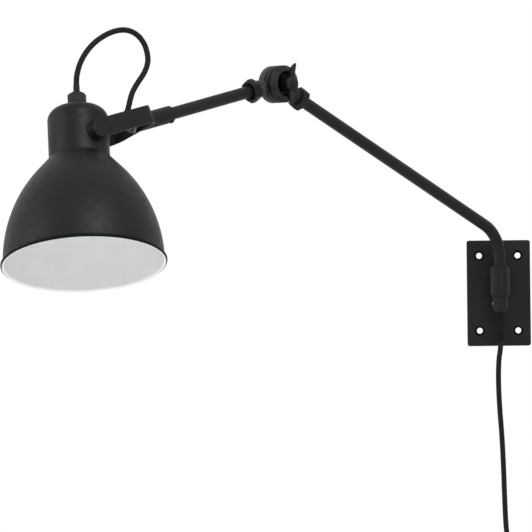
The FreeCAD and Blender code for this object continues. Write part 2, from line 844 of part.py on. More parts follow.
def make_wing_nut():
    body = start_body("wing_nut")
    base = size.wing_hub_base / 2
    tip = size.wing_hub_tip / 2
    turn(body, add_outline(new_sketch(body, "XZ_Plane"), [
        (0, 0), (base, 0), (tip, size.wing_hub_height), (0, size.wing_hub_height)]), V_AXIS)
    inside = tip / 2
    out = size.wing_span / 2
    low = size.wing_root_rise
    high = size.wing_tip_rise
    for side in (1, -1):
        wing = new_sketch(body, "XZ_Plane")
        corners = [
            (inside * side, low), ((base + size.wing_thick / 4) * side, low),
            (out * side, high - size.wing_thick * 1.6), ((out - size.wing_thick) * side, high),
            (inside * side, size.wing_hub_height - size.wing_thick / 2)]
        pad(body, add_outline(wing, corners, {2: (size.wing_thick, side)}), size.wing_thick, middle=True)
    bore = new_sketch(body, "XY_Plane")
    add_circle(bore, 0, 0, bolt_bore)
    pocket(body, bore, size.wing_hub_height * 2 + size.cut_past, reverse=True)
    leaned = Rotation(Z_AXIS, 90 - float(size.wing_turn_angle))
    set_place(body, hinge_frame, along_y(float(wing_seat)).multiply(Placement(Vector(), leaned)))


# ---------------------------------------------------------------- upper arm and yoke
def make_upper_arm():
    length = upper_tube_end - boss_socket
    tube = ring("upper_arm", size.tube_diameter, tube_bore, length)
    set_place(tube, upper_frame, along_x(float(boss_socket)))
    first = boss_socket + size.fit_gap * 20
    reach = size.base_distance + size.nipple_inside
    cord = lathe("inner_cord_upper", [
        (0, 0), (size.cord_diameter / 2, 0), (size.cord_diameter / 2, reach - first),
        (0, reach - first)])
    set_place(cord, upper_frame, along_x(float(first)))


def make_yoke_sleeve():
    outer = size.sleeve_diameter / 2
    edge = size.sleeve_edge
    length = size.sleeve_length
    step = length - size.sleeve_end
    body = lathe("yoke_sleeve", [
        (tube_seat / 2, 0), (outer - edge, 0), (outer, edge), (outer, length - edge),
        (outer - edge, length), (nipple_seat / 2, length), (nipple_seat / 2, step),
        (tube_seat / 2, step)])
    hole = new_sketch(body, "YZ_Plane")
    add_circle(hole, 0, size.sleeve_screw_back, size.set_screw_bore + size.fit_gap * 2)
    pocket(body, hole, outer + size.cut_past, reverse=True)
    turned = Placement(Vector(), Rotation(X_AXIS, float(size.sleeve_screw_angle)))
    set_place(body, yoke_frame, turned.multiply(along_x(-float(length))))
    screw = set_screw("sleeve_set_screw", size.sleeve_diameter)
    set_place(screw, body.Placement, along_x_at(0, size.sleeve_screw_back))


def along_x_at(y, height):
    """Turns a piece's own Z axis onto X, at a height on the Z axis."""
    return Placement(Vector(0, float(y), float(height)), Rotation(Y_AXIS, 90))


def make_yoke_strap():
    body = start_body("yoke_strap")
    thick = size.strap_thick
    base = size.yoke_base_width / 2
    knee = size.yoke_splay_length
    leg_out = leg_inside + thick
    widening = leg_out - base
    splay = root_of(knee * knee + widening * widening)
    slant = thick * splay / knee
    inner_base = base + thick * widening / knee - slant
    inner_knee = (leg_inside - base + slant) * knee / widening
    end = size.pivot_distance + size.strap_width / 2
    pad(body, add_outline(new_sketch(body, "XY_Plane"), [
        (0, -base), (knee, -leg_out), (end, -leg_out), (end, -leg_inside), (inner_knee, -leg_inside),
        (thick, -inner_base), (thick, inner_base), (inner_knee, leg_inside), (end, leg_inside),
        (end, leg_out), (knee, leg_out), (0, base)]), size.strap_width, middle=True)
    inner = upright_edges(body, float(thick), float(inner_base))
    inner += upright_edges(body, float(thick), -float(inner_base))
    fillet(body, inner, size.yoke_bend)
    outer = upright_edges(body, 0.0, float(base)) + upright_edges(body, 0.0, -float(base))
    fillet(body, outer, size.yoke_bend + thick)
    half = size.strap_width / 2
    rounded = new_sketch(body, "XZ_Plane")
    past = half + size.cut_past
    add_outline(rounded, [
        (size.pivot_distance, -half), (end, 0), (size.pivot_distance, half),
        (size.pivot_distance, past), (end + size.cut_past, past), (end + size.cut_past, -past),
        (size.pivot_distance, -past)], {0: (half, 1), 1: (half, 1)})
    pocket(body, rounded, leg_out * 4, middle=True)
    heads = new_sketch(body, "XZ_Plane")
    add_circle(heads, size.pivot_distance, 0, size.pivot_head + size.fit_gap * 2)
    pocket(body, heads, leg_out * 4, middle=True)
    entry = new_sketch(body, "YZ_Plane")
    add_circle(entry, 0, 0, nipple_seat)
    pocket(body, entry, thick * 4, middle=True)
    set_place(body, yoke_frame)


def make_cord_nipple():
    nipple = ring("cord_nipple", size.nipple_diameter, cord_bore,
                  size.nipple_inside + size.sleeve_end)
    set_place(nipple, yoke_frame, along_x(-float(size.sleeve_end)))
    washer = ring("nipple_washer", size.nipple_washer_diameter, nipple_seat,
                  size.nipple_washer_thick)
    set_place(washer, yoke_frame, along_x(float(size.strap_thick)))
    nut = hex_piece("nipple_nut", size.nipple_nut_corners, size.nipple_nut_height, nipple_seat)
    set_place(nut, yoke_frame, along_x(float(size.strap_thick + size.nipple_washer_thick)))


# ---------------------------------------------------------------- shade pivots
pivot_washer_out = neck_inside - size.pivot_washer_gap
pivot_nut_out = pivot_washer_out - size.pivot_washer_thick
pivot_nut_in = pivot_nut_out - size.pivot_nut_height
pivot_bore_fit = size.pivot_bore + size.fit_gap * 2


def on_both_legs(shape):
    """One copy reaching out to the near leg along Y and one to the far leg."""
    return [moved(shape, Placement(Vector(), Rotation(X_AXIS, angle))) for angle in (-90, 90)]


def hex_ring(corners, bore, low, high):
    outline = [Vector(float(x), float(y), float(low)) for x, y in hexagon(corners)]
    plain = Part.Face(Part.makePolygon(outline + outline[:1])).extrude(Z_AXIS * float(high - low))
    hole = Part.makeCylinder(float(bore) / 2, float(high - low) + 2 * float(size.cut_past),
                             Vector(0, 0, float(low) - float(size.cut_past)))
    return plain.cut(hole)


def make_pivots():
    shank = size.pivot_bore / 2
    head = size.pivot_head / 2
    tail = pivot_nut_in - size.pivot_tail
    leg_outside = leg_inside + size.strap_thick
    stud = spun([(0, tail), (shank, tail), (shank, leg_inside), (head, leg_inside),
                 (head, leg_outside), (0, leg_outside)])
    studs = group("pivot_studs", on_both_legs(stud))
    washer_radius = size.pivot_washer_diameter / 2
    bore = pivot_bore_fit / 2
    washer = spun([(bore, pivot_nut_out), (washer_radius, pivot_nut_out),
                   (washer_radius, pivot_washer_out), (bore, pivot_washer_out)])
    washers = group("pivot_washers", on_both_legs(washer))
    nut = hex_ring(size.pivot_nut_corners, pivot_bore_fit, pivot_nut_in, pivot_nut_out)
    nuts = group("pivot_nuts", on_both_legs(nut))
    for piece in (studs, washers, nuts):
        set_place(piece, pivot_frame)
    outer = size.spacer_diameter / 2
    face = leg_inside - size.running_gap
    blank = spun([(bore, neck_inside), (outer, neck_inside), (outer, face), (bore, face)])
    neck = Part.makeCylinder(float(neck_radius + size.fit_gap), float(size.neck_diameter) * 2,
                             Vector(0, -float(size.neck_diameter), 0), Y_AXIS)
    spacers = group("pivot_spacers", on_both_legs(blank.cut(neck)))
    set_place(spacers, shade_frame)


# ---------------------------------------------------------------- shade
def make_shade():
    body = start_body("shade")
    shoulder = size.neck_shoulder
    cone = size.cone_diameter / 2
    rim = size.bell_diameter / 2
    turn(body, add_outline(new_sketch(body, "XZ_Plane"), [
        (0, size.neck_top), (neck_radius - shoulder, size.neck_top),
        (neck_radius, size.neck_top - shoulder), (neck_radius, size.neck_bottom),
        (cone, size.neck_bottom - size.cone_drop), (rim, -size.rim_drop), (0, -size.rim_drop)],
        {1: (shoulder, -1), 4: (size.bell_curve, -1)}), V_AXIS)
    low = min(range(len(body.Shape.Faces)), key=lambda n: body.Shape.Faces[n].CenterOfMass.z)
    base = body.Tip
    wall_step = body.newObject("PartDesign::Thickness", "shade_wall")
    wall_step.Base = (base, [f"Face{low + 1}"])
    bind(wall_step, "Value", size.shade_wall)
    wall_step.Reversed = True
    wall_step.Join = "Intersection"
    doc.recompute()
    volumes[body.Name] = body.Shape.Volume
    bead = new_sketch(body, "XZ_Plane")
    add_circle(bead, rim - size.shade_wall + size.bead_diameter / 2, -size.rim_drop, size.bead_diameter)
    turn(body, bead, V_AXIS)
    top_hole = new_sketch(body, "XY_Plane")
    add_circle(top_hole, 0, 0, size.entry_thread + size.fit_gap * 2)
    pocket(body, top_hole, size.neck_top + size.cut_past, reverse=True)
    pivot_holes = new_sketch(body, "XZ_Plane")
    add_circle(pivot_holes, 0, 0, pivot_bore_fit)
    pocket(body, pivot_holes, size.neck_diameter * 2, middle=True)
    set_place(body, shade_frame)


def shade_place(height):
    return Placement(Vector(0, 0, float(height)), Rotation())


def make_entry():
    body = start_body("entry_nut")
    hex_height = size.entry_hex_height
    top = hex_height + size.entry_dome
    pad(body, add_outline(new_sketch(body, "XY_Plane"), hexagon(size.entry_corners)), hex_height)
    neck = size.entry_collar_diameter / 2
    foot = size.entry_corners / 2 * math.cos(math.radians(30))
    turn(body, add_outline(new_sketch(body, "XZ_Plane"), [
        (0, hex_height), (foot, hex_height), (neck, top), (0, top)], {1: (foot * 1.1, 1)}), V_AXIS)
    thread = (size.entry_thread + size.fit_gap * 2) / 2
    depth = size.entry_engagement
    turn(body, add_outline(new_sketch(body, "XZ_Plane"), [
        (0, -size.cut_past), (thread, -size.cut_past), (thread, depth), (0, depth)]),
        V_AXIS, cut=True)
    bore = new_sketch(body, "XY_Plane")
    add_circle(bore, 0, 0, cord_bore)
    pocket(body, bore, top + size.cut_past, reverse=True)
    set_place(body, shade_frame, shade_place(size.neck_top))
    collar = ring("entry_collar", size.entry_collar_diameter, cord_bore, size.entry_collar)
    set_place(collar, shade_frame, shade_place(entry_top - size.entry_collar))


def make_lamp_holder():
    nipple_low = holder_top - size.holder_engagement
    nipple = ring("holder_nipple", size.entry_thread, cord_bore,
                  size.neck_top + size.entry_engagement - nipple_low)
    set_place(nipple, shade_frame, shade_place(nipple_low))
    thread = size.entry_thread + size.fit_gap * 2
    nut = hex_piece("holder_nut", size.holder_nut_corners, size.holder_nut_height, thread)
    set_place(nut, shade_frame, shade_place(holder_top))
    outer = size.holder_diameter / 2
    inner = outer - size.holder_wall
    height = size.holder_cap_height
    shoulder = size.holder_wall * 2
    cap = lathe("holder_cap", [
        (inner, 0), (outer, 0), (outer, height - shoulder), (outer - shoulder, height),
        (thread / 2, height), (thread / 2, height - size.holder_wall),
        (inner - shoulder, height - size.holder_wall), (inner, height - shoulder - size.holder_wall)])
    set_place(cap, shade_frame, shade_place(holder_split))
    ledge = size.holder_body_height - size.contact_disc_height
    body = lathe("holder_body", [
        (size.screw_shell_diameter / 2 + size.fit_gap, 0), (outer, 0),
        (outer, size.holder_body_height), (inner, size.holder_body_height), (inner, ledge),
        (size.screw_shell_diameter / 2 + size.fit_gap, ledge)])
    set_place(body, shade_frame, shade_place(holder_low))
    shell = ring("screw_shell", size.screw_shell_diameter,
                 size.screw_shell_diameter - size.screw_shell_wall * 2, size.screw_shell_height)
    shell_top = holder_low + ledge
    shell_low = shell_top - size.contact_height - size.contact_gap - size.screw_shell_height
    set_place(shell, shade_frame, shade_place(shell_low))
    disc_radius = inner - size.fit_gap
    disc = lathe("contact_insulator", [
        (0, 0), (disc_radius, 0), (disc_radius, size.contact_disc), (0, size.contact_disc)])
    set_place(disc, shade_frame, shade_place(shell_top))
    contact = lathe("centre_contact", [
        (0, 0), (size.contact_diameter / 2 - size.contact_height / 2, 0),
        (size.contact_diameter / 2, size.contact_height), (0, size.contact_height)])
    set_place(contact, shade_frame, shade_place(shell_top - size.contact_height))


# ---------------------------------------------------------------- cords
# Points of each free stretch, right, out and up from the origin. The stretches start and end at
# the fittings, so only the points between are written here. The loop's points are written for
# the shade's pivot at LOOP_PIVOT and move with it.
MAINS_POINTS = [
    (0.0, -28.0, -56.2), (-2.3, -28.0, -68.0), (-3.0, -28.0, -90.0), (-2.0, -28.0, -118.0),
    (0.2, -28.0, -148.0), (1.5, -28.0, -182.0), (2.3, -28.0, -218.0), (3.6, -28.0, -250.0),
    (9.5, -28.0, -277.0), (22.0, -28.0, -302.0)]
LOOP_PIVOT = (-416.2554, -410.2849, 151.0458)
LOOP_POINTS = [
    (-418.9, -390.9, 205.7), (-418.3, -387.7, 213.7), (-416.1, -383.4, 223.0),
    (-411.5, -377.8, 233.0), (-404.1, -370.7, 243.0), (-394.1, -362.7, 251.2),
    (-382.6, -354.4, 256.8), (-371.4, -347.6, 257.8), (-362.4, -344.3, 253.4),
    (-356.2, -344.0, 245.6), (-353.0, -346.2, 236.5), (-351.9, -350.7, 226.1),
    (-354.5, -358.3, 215.5), (-359.9, -367.6, 206.1), (-364.8, -376.5, 196.7),
    (-368.0, -383.0, 187.8), (-370.8, -387.0, 179.7), (-373.8, -389.3, 172.8),
    (-377.8, -388.5, 167.8), (-380.1, -385.0, 164.1), (-380.1, -379.7, 161.9),
    (-377.9, -374.5, 162.1)]
PLUG_POINTS = [(-2.0, -22.0), (-3.4, -33.0), (-3.4, -42.0)]


def tube_along(points, diameter):
    """A round tube along straight runs that are joined by tangent arcs."""
    edges = []
    radii = []
    start = points[0]
    for before, here, after in zip(points, points[1:], points[2:]):
        back = before - here
        ahead = after - here
        turned = math.pi - back.getAngle(ahead)
        trim = 0.45 * min(back.Length, ahead.Length)
        radius = trim / math.tan(turned / 2)
        radii.append(radius)
        first = here + back.normalize() * trim
        last = here + ahead.normalize() * trim
        inward = (back + ahead).normalize()
        middle = here + inward * (radius / math.cos(turned / 2) - radius)
        edges.append(Part.LineSegment(start, first).toShape())
        edges.append(Part.Arc(first, middle, last).toShape())
        start = last
    edges.append(Part.LineSegment(start, points[-1]).toShape())
    path = Part.Wire(edges)
    section = Part.Wire(Part.Circle(points[0], points[1] - points[0], diameter / 2).toShape())
    tube = path.makePipeShell([section], True, False)
    return tube, path.Length, radii


def make_cord(label, points):
    tube, length, radii = tube_along(points, float(size.cord_diameter))
    wanted = math.pi * float(size.cord_diameter) ** 2 / 4 * length
    print(f"{label}: length {length:.1f}, volume {tube.Volume / wanted:.5f} of section times length,"
          f" radii {' '.join(f'{radius:.0f}' for radius in radii)}")
    cord = doc.addObject("Part::Feature", label)
    cord.Label = label
    cord.Shape = tube
    parts.append(cord)
    return length


def coil_centre_line():
    """Place along the coil at a number of turns from its start: in along one layer, over, out."""
    pitch = float(size.coil_pitch)
    turns = float(size.coil_turns)
    start = float(size.coil_entry_angle) / 360
    last = turns * 2 + (float(size.coil_exit_angle) - float(size.coil_entry_angle)) / 360
    outer = float(size.coil_mean_diameter) / 2 + pitch * turns / 2
    centre = Vector(float(size.coil_centre_right), -float(size.axis_out), -float(size.coil_centre_drop))

    def place(along):
        climbed = min(max((along - turns + 0.25) / 0.5, 0.0), 1.0)
        radius = outer - pitch * min(along, turns) + pitch * max(along - turns, 0.0)
        clock = math.tau * (start + along)
        layer = pitch * (climbed - math.sin(math.tau * climbed) / math.tau)
        return centre + Vector(radius * math.sin(clock), -layer, radius * math.cos(clock))

    return place, last, centre


def biarc(first, first_way, last, last_way):
    """Two arcs that meet smoothly and keep the given directions at both ends."""
    chord = last - first
    ways = first_way + last_way
    along = chord.dot(ways)
    fall = 2 * (1 - first_way.dot(last_way))
    reach = (math.sqrt(along * along + fall * chord.dot(chord)) - along) / fall
    join = (first + last + (first_way - last_way) * reach) / 2
    arcs = []
    for start, way, end in ((first, first_way, join), (last, -last_way, join)):
        span = end - start
        side = span - way * span.dot(way)
        radius = span.dot(span) / (2 * side.Length)
        centre = start + side.normalize() * radius
        middle = centre + ((start + end) / 2 - centre).normalize() * radius
        arcs.append(Part.Arc(start, middle, end).toShape())
    return arcs, join


def make_coil():
    """The put-away length: two flat layers of turns, one behind the other, hanging upright."""
    place, last, centre = coil_centre_line()
    quarters = int(math.ceil(last * 4))
    steps = [last * number / quarters for number in range(quarters + 1)]
    small = 0.001
    spots = [place(step) for step in steps]
    ways = [(place(step + small) - place(step - small)).normalize() for step in steps]
    lead = float(size.cord_diameter)
    start = spots[0] - ways[0] * lead
    end = spots[-1] + ways[-1] * lead
    edges = [Part.LineSegment(start, spots[0]).toShape()]
    for number in range(quarters):
        arcs, join = biarc(spots[number], ways[number], spots[number + 1], ways[number + 1])
        edges += arcs
    edges.append(Part.LineSegment(spots[-1], end).toShape())
    path = Part.Wire(Part.__sortEdges__(edges))
    section = Part.Wire(Part.Circle(start, ways[0], lead / 2).toShape())
    tube = path.makePipeShell([section], True, False)
    wanted = math.pi * lead ** 2 / 4 * path.Length
    print(f"cord_coil: length {path.Length:.1f}, volume {tube.Volume / wanted:.5f}"
          f" of section times length, least gap to itself {least_gap(place, last) - lead:.2f}")
    coil = doc.addObject("Part::Feature", "cord_coil")
    coil.Label = "cord_coil"
    coil.Shape = tube
    parts.append(coil)
    return start, ways[0], end, ways[-1], path.Length


def least_gap(place, last):
    """Least distance between centre lines more than a third of a turn apart."""
    count = 40
    spots = [place(number / count) for number in range(int(last * count) + 1)]
    least = 1000.0
    for number, spot in enumerate(spots):
        for other in spots[number + count // 3:]:
            least = min(least, (other - spot).Length)
    return least


def make_tie():
    """The band round all the turns, at the side of the coil away from the plug."""
    centre = coil_centre_line()[2]
    body = start_body("cord_tie")
    half = size.coil_pitch * (size.coil_turns - 0.5) / 2 + size.cord_diameter / 2
    middle = size.coil_mean_diameter / 2
    depth = size.coil_pitch / 2 + size.cord_diameter / 2 + size.tie_gap
    sketch = new_sketch(body, "XY_Plane")
    for grow in (size.tie_thick, as_size(0.0)):
        add_outline(sketch, [
            (half + grow, -(depth + grow)), (half + grow, depth + grow),
            (-(half + grow), depth + grow), (-(half + grow), -(depth + grow))])
    pad(body, sketch, size.tie_width, middle=True)
    across = centre + Vector(-float(middle), -float(size.coil_pitch) / 2, 0)
    set_place(body, Placement(across, Rotation()))


def make_plug(foot):
    """Flat two-pin plug hanging from its lead, with its own cord relief."""
    body = start_body("mains_plug")
    half = size.plug_width / 2
    waist = size.plug_waist / 2
    relief = size.plug_relief
    full = relief + size.plug_length
    straight = full - size.plug_straight
    pad(body, add_outline(new_sketch(body, "XZ_Plane"), [
        (-waist, -relief), (waist, -relief), (half, -straight), (half, -full), (-half, -full),
        (-half, -straight)]), size.plug_thick, middle=True)
    sides = [f"Edge{n + 1}" for n, edge in enumerate(body.Shape.Edges)
             if abs(edge.CenterOfMass.y) > 1 and abs(edge.CenterOfMass.z + float(full)) > 1]
    fillet(body, sides, size.plug_edge)
    turn(body, add_outline(new_sketch(body, "XZ_Plane"), [
        (0, 0), (size.plug_relief_tip / 2, 0), (size.plug_relief_root / 2, -relief),
        (0, -relief)]), V_AXIS)
    set_place(body, Placement(foot, Rotation()))
    radius = size.pin_diameter / 2
    edge = size.pin_edge
    pin = spun([(0, 0), (radius, 0), (radius, -(size.pin_length - edge)),
                (radius - edge, -size.pin_length), (0, -size.pin_length)])
    level = foot.z - float(full)
    pins = [moved(pin, Placement(Vector(foot.x + side * float(size.pin_pitch) / 2, foot.y, level),
                                 Rotation())) for side in (-1, 1)]
    group("plug_pins", pins)


def make_cords():
    drop = Vector(0, 0, float(size.running_gap))
    relief_tip = arm.multVec(Vector(0, 0, float(relief_low))) - drop
    coil_start, start_way, coil_end, end_way, coil_length = make_coil()
    mains = [relief_tip] + [Vector(*point) for point in MAINS_POINTS]
    mains += [coil_start - start_way * 12.0, coil_start]
    mains_length = make_cord("mains_cord", mains)
    down = [coil_end, coil_end + end_way * 10.0]
    down += [coil_end + Vector(right, 0, up) for right, up in PLUG_POINTS]
    lead_length = make_cord("plug_lead", down)
    make_plug(down[-1])
    make_tie()
    print(f"mains cord in all {mains_length + coil_length + lead_length:.0f}")
    loop = [shade_frame.multVec(Vector(0, 0, float(entry_top)))]
    moved_by = pivot_frame.Base - Vector(*LOOP_PIVOT)
    loop += [Vector(*point) + moved_by for point in LOOP_POINTS]
    nipple_end = X_AXIS * float(size.nipple_inside)
    loop += [yoke_frame.multVec(nipple_end + X_AXIS * 3.5), yoke_frame.multVec(nipple_end)]
    make_cord("loop_cord", loop)


make_wall_plate()
make_swivel_barrel()
make_barrel_screws()
make_bushes()
make_stop_ring()
make_collar()
make_strain_relief()
make_lower_arm()
make_knuckle_lower()
make_arm_nut("arm_nut_lower", lower_knuckle_frame)
make_elbow_stack()
make_wing_nut()
make_knuckle_upper()
make_arm_nut("arm_nut_upper", upper_frame)
make_upper_arm()
make_yoke_sleeve()
make_yoke_strap()
make_cord_nipple()
make_pivots()
make_shade()
make_entry()
make_lamp_holder()
make_cords()
doc.recompute()

# every object has to be sound before anything is written
for item in doc.Objects:
    if "Invalid" in item.State or "Error" in item.State:
        raise ValueError(f"{item.Label}: {item.State}")
for piece in parts:
    if piece.Shape.isNull() or not piece.Shape.isValid() or not piece.Shape.Solids:
        raise ValueError(f"{piece.Label}: bad shape")
os.makedirs("parts", exist_ok=True)
for piece in parts:
    piece.Shape.exportStep(f"parts/{piece.Label}.step")
print(f"{len(parts)} sub-parts written")
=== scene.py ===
import json
import math

import bmesh
import bpy
from mathutils import Matrix, Vector


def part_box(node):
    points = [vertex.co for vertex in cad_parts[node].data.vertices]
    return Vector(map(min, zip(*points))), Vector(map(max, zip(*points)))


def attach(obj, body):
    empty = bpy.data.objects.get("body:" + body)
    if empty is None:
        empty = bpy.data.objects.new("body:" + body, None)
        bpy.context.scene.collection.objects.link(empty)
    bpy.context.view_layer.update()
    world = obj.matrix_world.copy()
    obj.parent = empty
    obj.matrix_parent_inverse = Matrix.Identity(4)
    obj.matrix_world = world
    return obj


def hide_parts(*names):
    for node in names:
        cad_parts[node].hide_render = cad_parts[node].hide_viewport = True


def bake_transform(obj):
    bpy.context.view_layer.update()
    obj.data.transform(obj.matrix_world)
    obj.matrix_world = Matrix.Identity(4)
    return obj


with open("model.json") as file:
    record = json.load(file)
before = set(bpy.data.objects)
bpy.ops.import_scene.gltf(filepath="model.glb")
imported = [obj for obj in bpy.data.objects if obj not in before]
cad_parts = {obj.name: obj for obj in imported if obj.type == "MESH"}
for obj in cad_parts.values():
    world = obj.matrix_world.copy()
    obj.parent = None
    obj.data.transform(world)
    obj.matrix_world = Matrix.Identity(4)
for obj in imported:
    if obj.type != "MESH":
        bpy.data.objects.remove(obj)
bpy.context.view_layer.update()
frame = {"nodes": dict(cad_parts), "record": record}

nodes = frame["nodes"]
print("frame loaded:", len(nodes), "parts")

# the photo is a long-lens shot from straight in front, with the picture leaning a little
photoView = {"place": (-0.24201, -4.1, 0.03096), "lens": 266.32, "sensor": 36.0, "lean": 0.65}


def placeCamera(view):
    facing = (math.radians(90), math.radians(view["lean"]), 0)
    bpy.ops.object.camera_add(location=view["place"], rotation=facing)
    camera = bpy.context.object
    camera.name = "photoCamera"
    camera.data.lens = view["lens"]
    camera.data.sensor_width = view["sensor"]
    camera.data.clip_start = 0.1
    camera.data.clip_end = 50
    bpy.context.scene.camera = camera


placeCamera(photoView)
print("camera placed")

mm = 0.001
places = {    # each moving frame: its three axes and where it stands, in millimetres
    "shade": ((-0.7977161, -0.5792734, 0.1676049), (0.6013357, -0.7432887, 0.2931163),
              (-0.0452157, 0.3346104, 0.9412712), (-416.2554, -410.2849, 151.0458)),
    "yoke": ((-0.7128952, -0.6647855, -0.2232501), (0.6013357, -0.7432887, 0.2931163),
             (-0.3607988, 0.0747130, 0.9296463), (-364.7843, -362.2874, 167.1644)),
    "elbow": ((-0.7313537, -0.6819984, 0.0), (0.6819984, -0.7313537, 0.0),
              (0.0, 0.0, 1.0), (-228.3977, -240.9843, 208.9568)),
    "nearKnuckle": ((0.6601091, 0.6155617, -0.4305111), (0.6819984, -0.7313537, 0.0),
                    (-0.3148559, -0.2936079, -0.9025853), (-228.3977, -240.9843, 208.9568)),
    "farKnuckle": ((-0.7128952, -0.6647855, -0.2232501), (0.6819984, -0.7313537, 0.0),
                   (-0.1632748, -0.1522562, 0.9747612), (-231.3303, -237.8395, 208.9568)),
    "wall": ((1, 0, 0), (0, 1, 0), (0, 0, 1), (0, 0, 0)),
}


def placeOf(name):
    first, second, third, spot = (Vector(part) for part in places[name])
    turn = Matrix((first, second, third)).transposed().to_4x4()
    return Matrix.Translation(spot * mm) @ turn


# finishes: small helpers, then one function per finish

def startFinish(name):
    finish = bpy.data.materials.new(name)
    finish.use_nodes = True
    tree = finish.node_tree
    shader = tree.nodes["Principled BSDF"]
    where = tree.nodes.new("ShaderNodeTexCoord")
    return finish, tree, shader, where


def grain(tree, where, scale, detail=3.0, stretch=(1, 1, 1), roughness=0.5):
    mapping = tree.nodes.new("ShaderNodeMapping")
    mapping.inputs["Scale"].default_value = stretch
    tree.links.new(where.outputs["Object"], mapping.inputs["Vector"])
    noise = tree.nodes.new("ShaderNodeTexNoise")
    noise.inputs["Scale"].default_value = scale
    noise.inputs["Detail"].default_value = detail
    noise.inputs["Roughness"].default_value = roughness
    tree.links.new(mapping.outputs["Vector"], noise.inputs["Vector"])
    return noise.outputs["Fac"]


def spread(tree, value, low, high, start=0.0, end=1.0):
    reach = tree.nodes.new("ShaderNodeMapRange")
    for label, number in (("From Min", start), ("From Max", end), ("To Min", low), ("To Max", high)):
        reach.inputs[label].default_value = number
    tree.links.new(value, reach.inputs["Value"])
    return reach.outputs["Result"]


def shades(tree, value, stops):
    ramp = tree.nodes.new("ShaderNodeValToRGB")
    marks = ramp.color_ramp.elements
    while len(marks) < len(stops):
        marks.new(0.5)
    for mark, (place, colour) in zip(marks, stops):
        mark.position = place
        mark.color = (*colour, 1)
    tree.links.new(value, ramp.inputs["Fac"])
    return ramp.outputs["Color"]


def raised(tree, height, deep, below=None):
    bump = tree.nodes.new("ShaderNodeBump")
    bump.inputs["Strength"].default_value = 1.0
    bump.inputs["Distance"].default_value = deep
    tree.links.new(height, bump.inputs["Height"])
    if below:
        tree.links.new(below, bump.inputs["Normal"])
    return bump.outputs["Normal"]


def sums(tree, operation, first, second=None):
    step = tree.nodes.new("ShaderNodeMath")
    step.operation = operation
    for number, value in enumerate((first, second)):
        if value is None:
            continue
        if isinstance(value, (int, float)):
            step.inputs[number].default_value = value
        else:
            tree.links.new(value, step.inputs[number])
    return step.outputs[0]


powderLook = {"dark": (0.0050, 0.0050, 0.0056), "pale": (0.0080, 0.0080, 0.0090), "gloss": (0.40, 0.52),
              "shine": 0.165, "grains": 1500, "grainDeep": 0.00005, "waves": 240, "waveDeep": 0.00008}


def powderCoat(name, look):
    finish, tree, shader, where = startFinish(name)
    fine = grain(tree, where, look["grains"], 2.0)
    broad = grain(tree, where, look["waves"], 3.0)
    drift = grain(tree, where, 14, 4.0)
    tree.links.new(shades(tree, drift, [(0.3, look["dark"]), (0.7, look["pale"])]),
                   shader.inputs["Base Color"])
    tree.links.new(spread(tree, broad, *look["gloss"], 0.3, 0.7), shader.inputs["Roughness"])
    under = raised(tree, broad, look["waveDeep"])
    tree.links.new(raised(tree, fine, look["grainDeep"], under), shader.inputs["Normal"])
    shader.inputs["Specular IOR Level"].default_value = look["shine"]
    return finish


castLook = {"dark": (0.0045, 0.0045, 0.005), "pale": (0.013, 0.013, 0.014), "gloss": (0.34, 0.56),
            "shine": 0.2, "lumps": 330, "lumpDeep": 0.0007, "pits": 1300, "pitDeep": 0.00022}


def castBlack(name, look):
    finish, tree, shader, where = startFinish(name)
    lumps = grain(tree, where, look["lumps"], 4.0, roughness=0.55)
    pits = grain(tree, where, look["pits"], 3.0)
    tree.links.new(shades(tree, lumps, [(0.3, look["dark"]), (0.7, look["pale"])]),
                   shader.inputs["Base Color"])
    tree.links.new(spread(tree, pits, *look["gloss"], 0.3, 0.7), shader.inputs["Roughness"])
    under = raised(tree, lumps, look["lumpDeep"])
    tree.links.new(raised(tree, pits, look["pitDeep"], under), shader.inputs["Normal"])
    shader.inputs["Specular IOR Level"].default_value = look["shine"]
    return finish


hollowShadeLook = {"radius": 12.7, "fade": 0.3, "inner": 18.5, "outer": 20.5,
              "dark": (0.0012, 0.0012, 0.0013), "rough": 0.95}


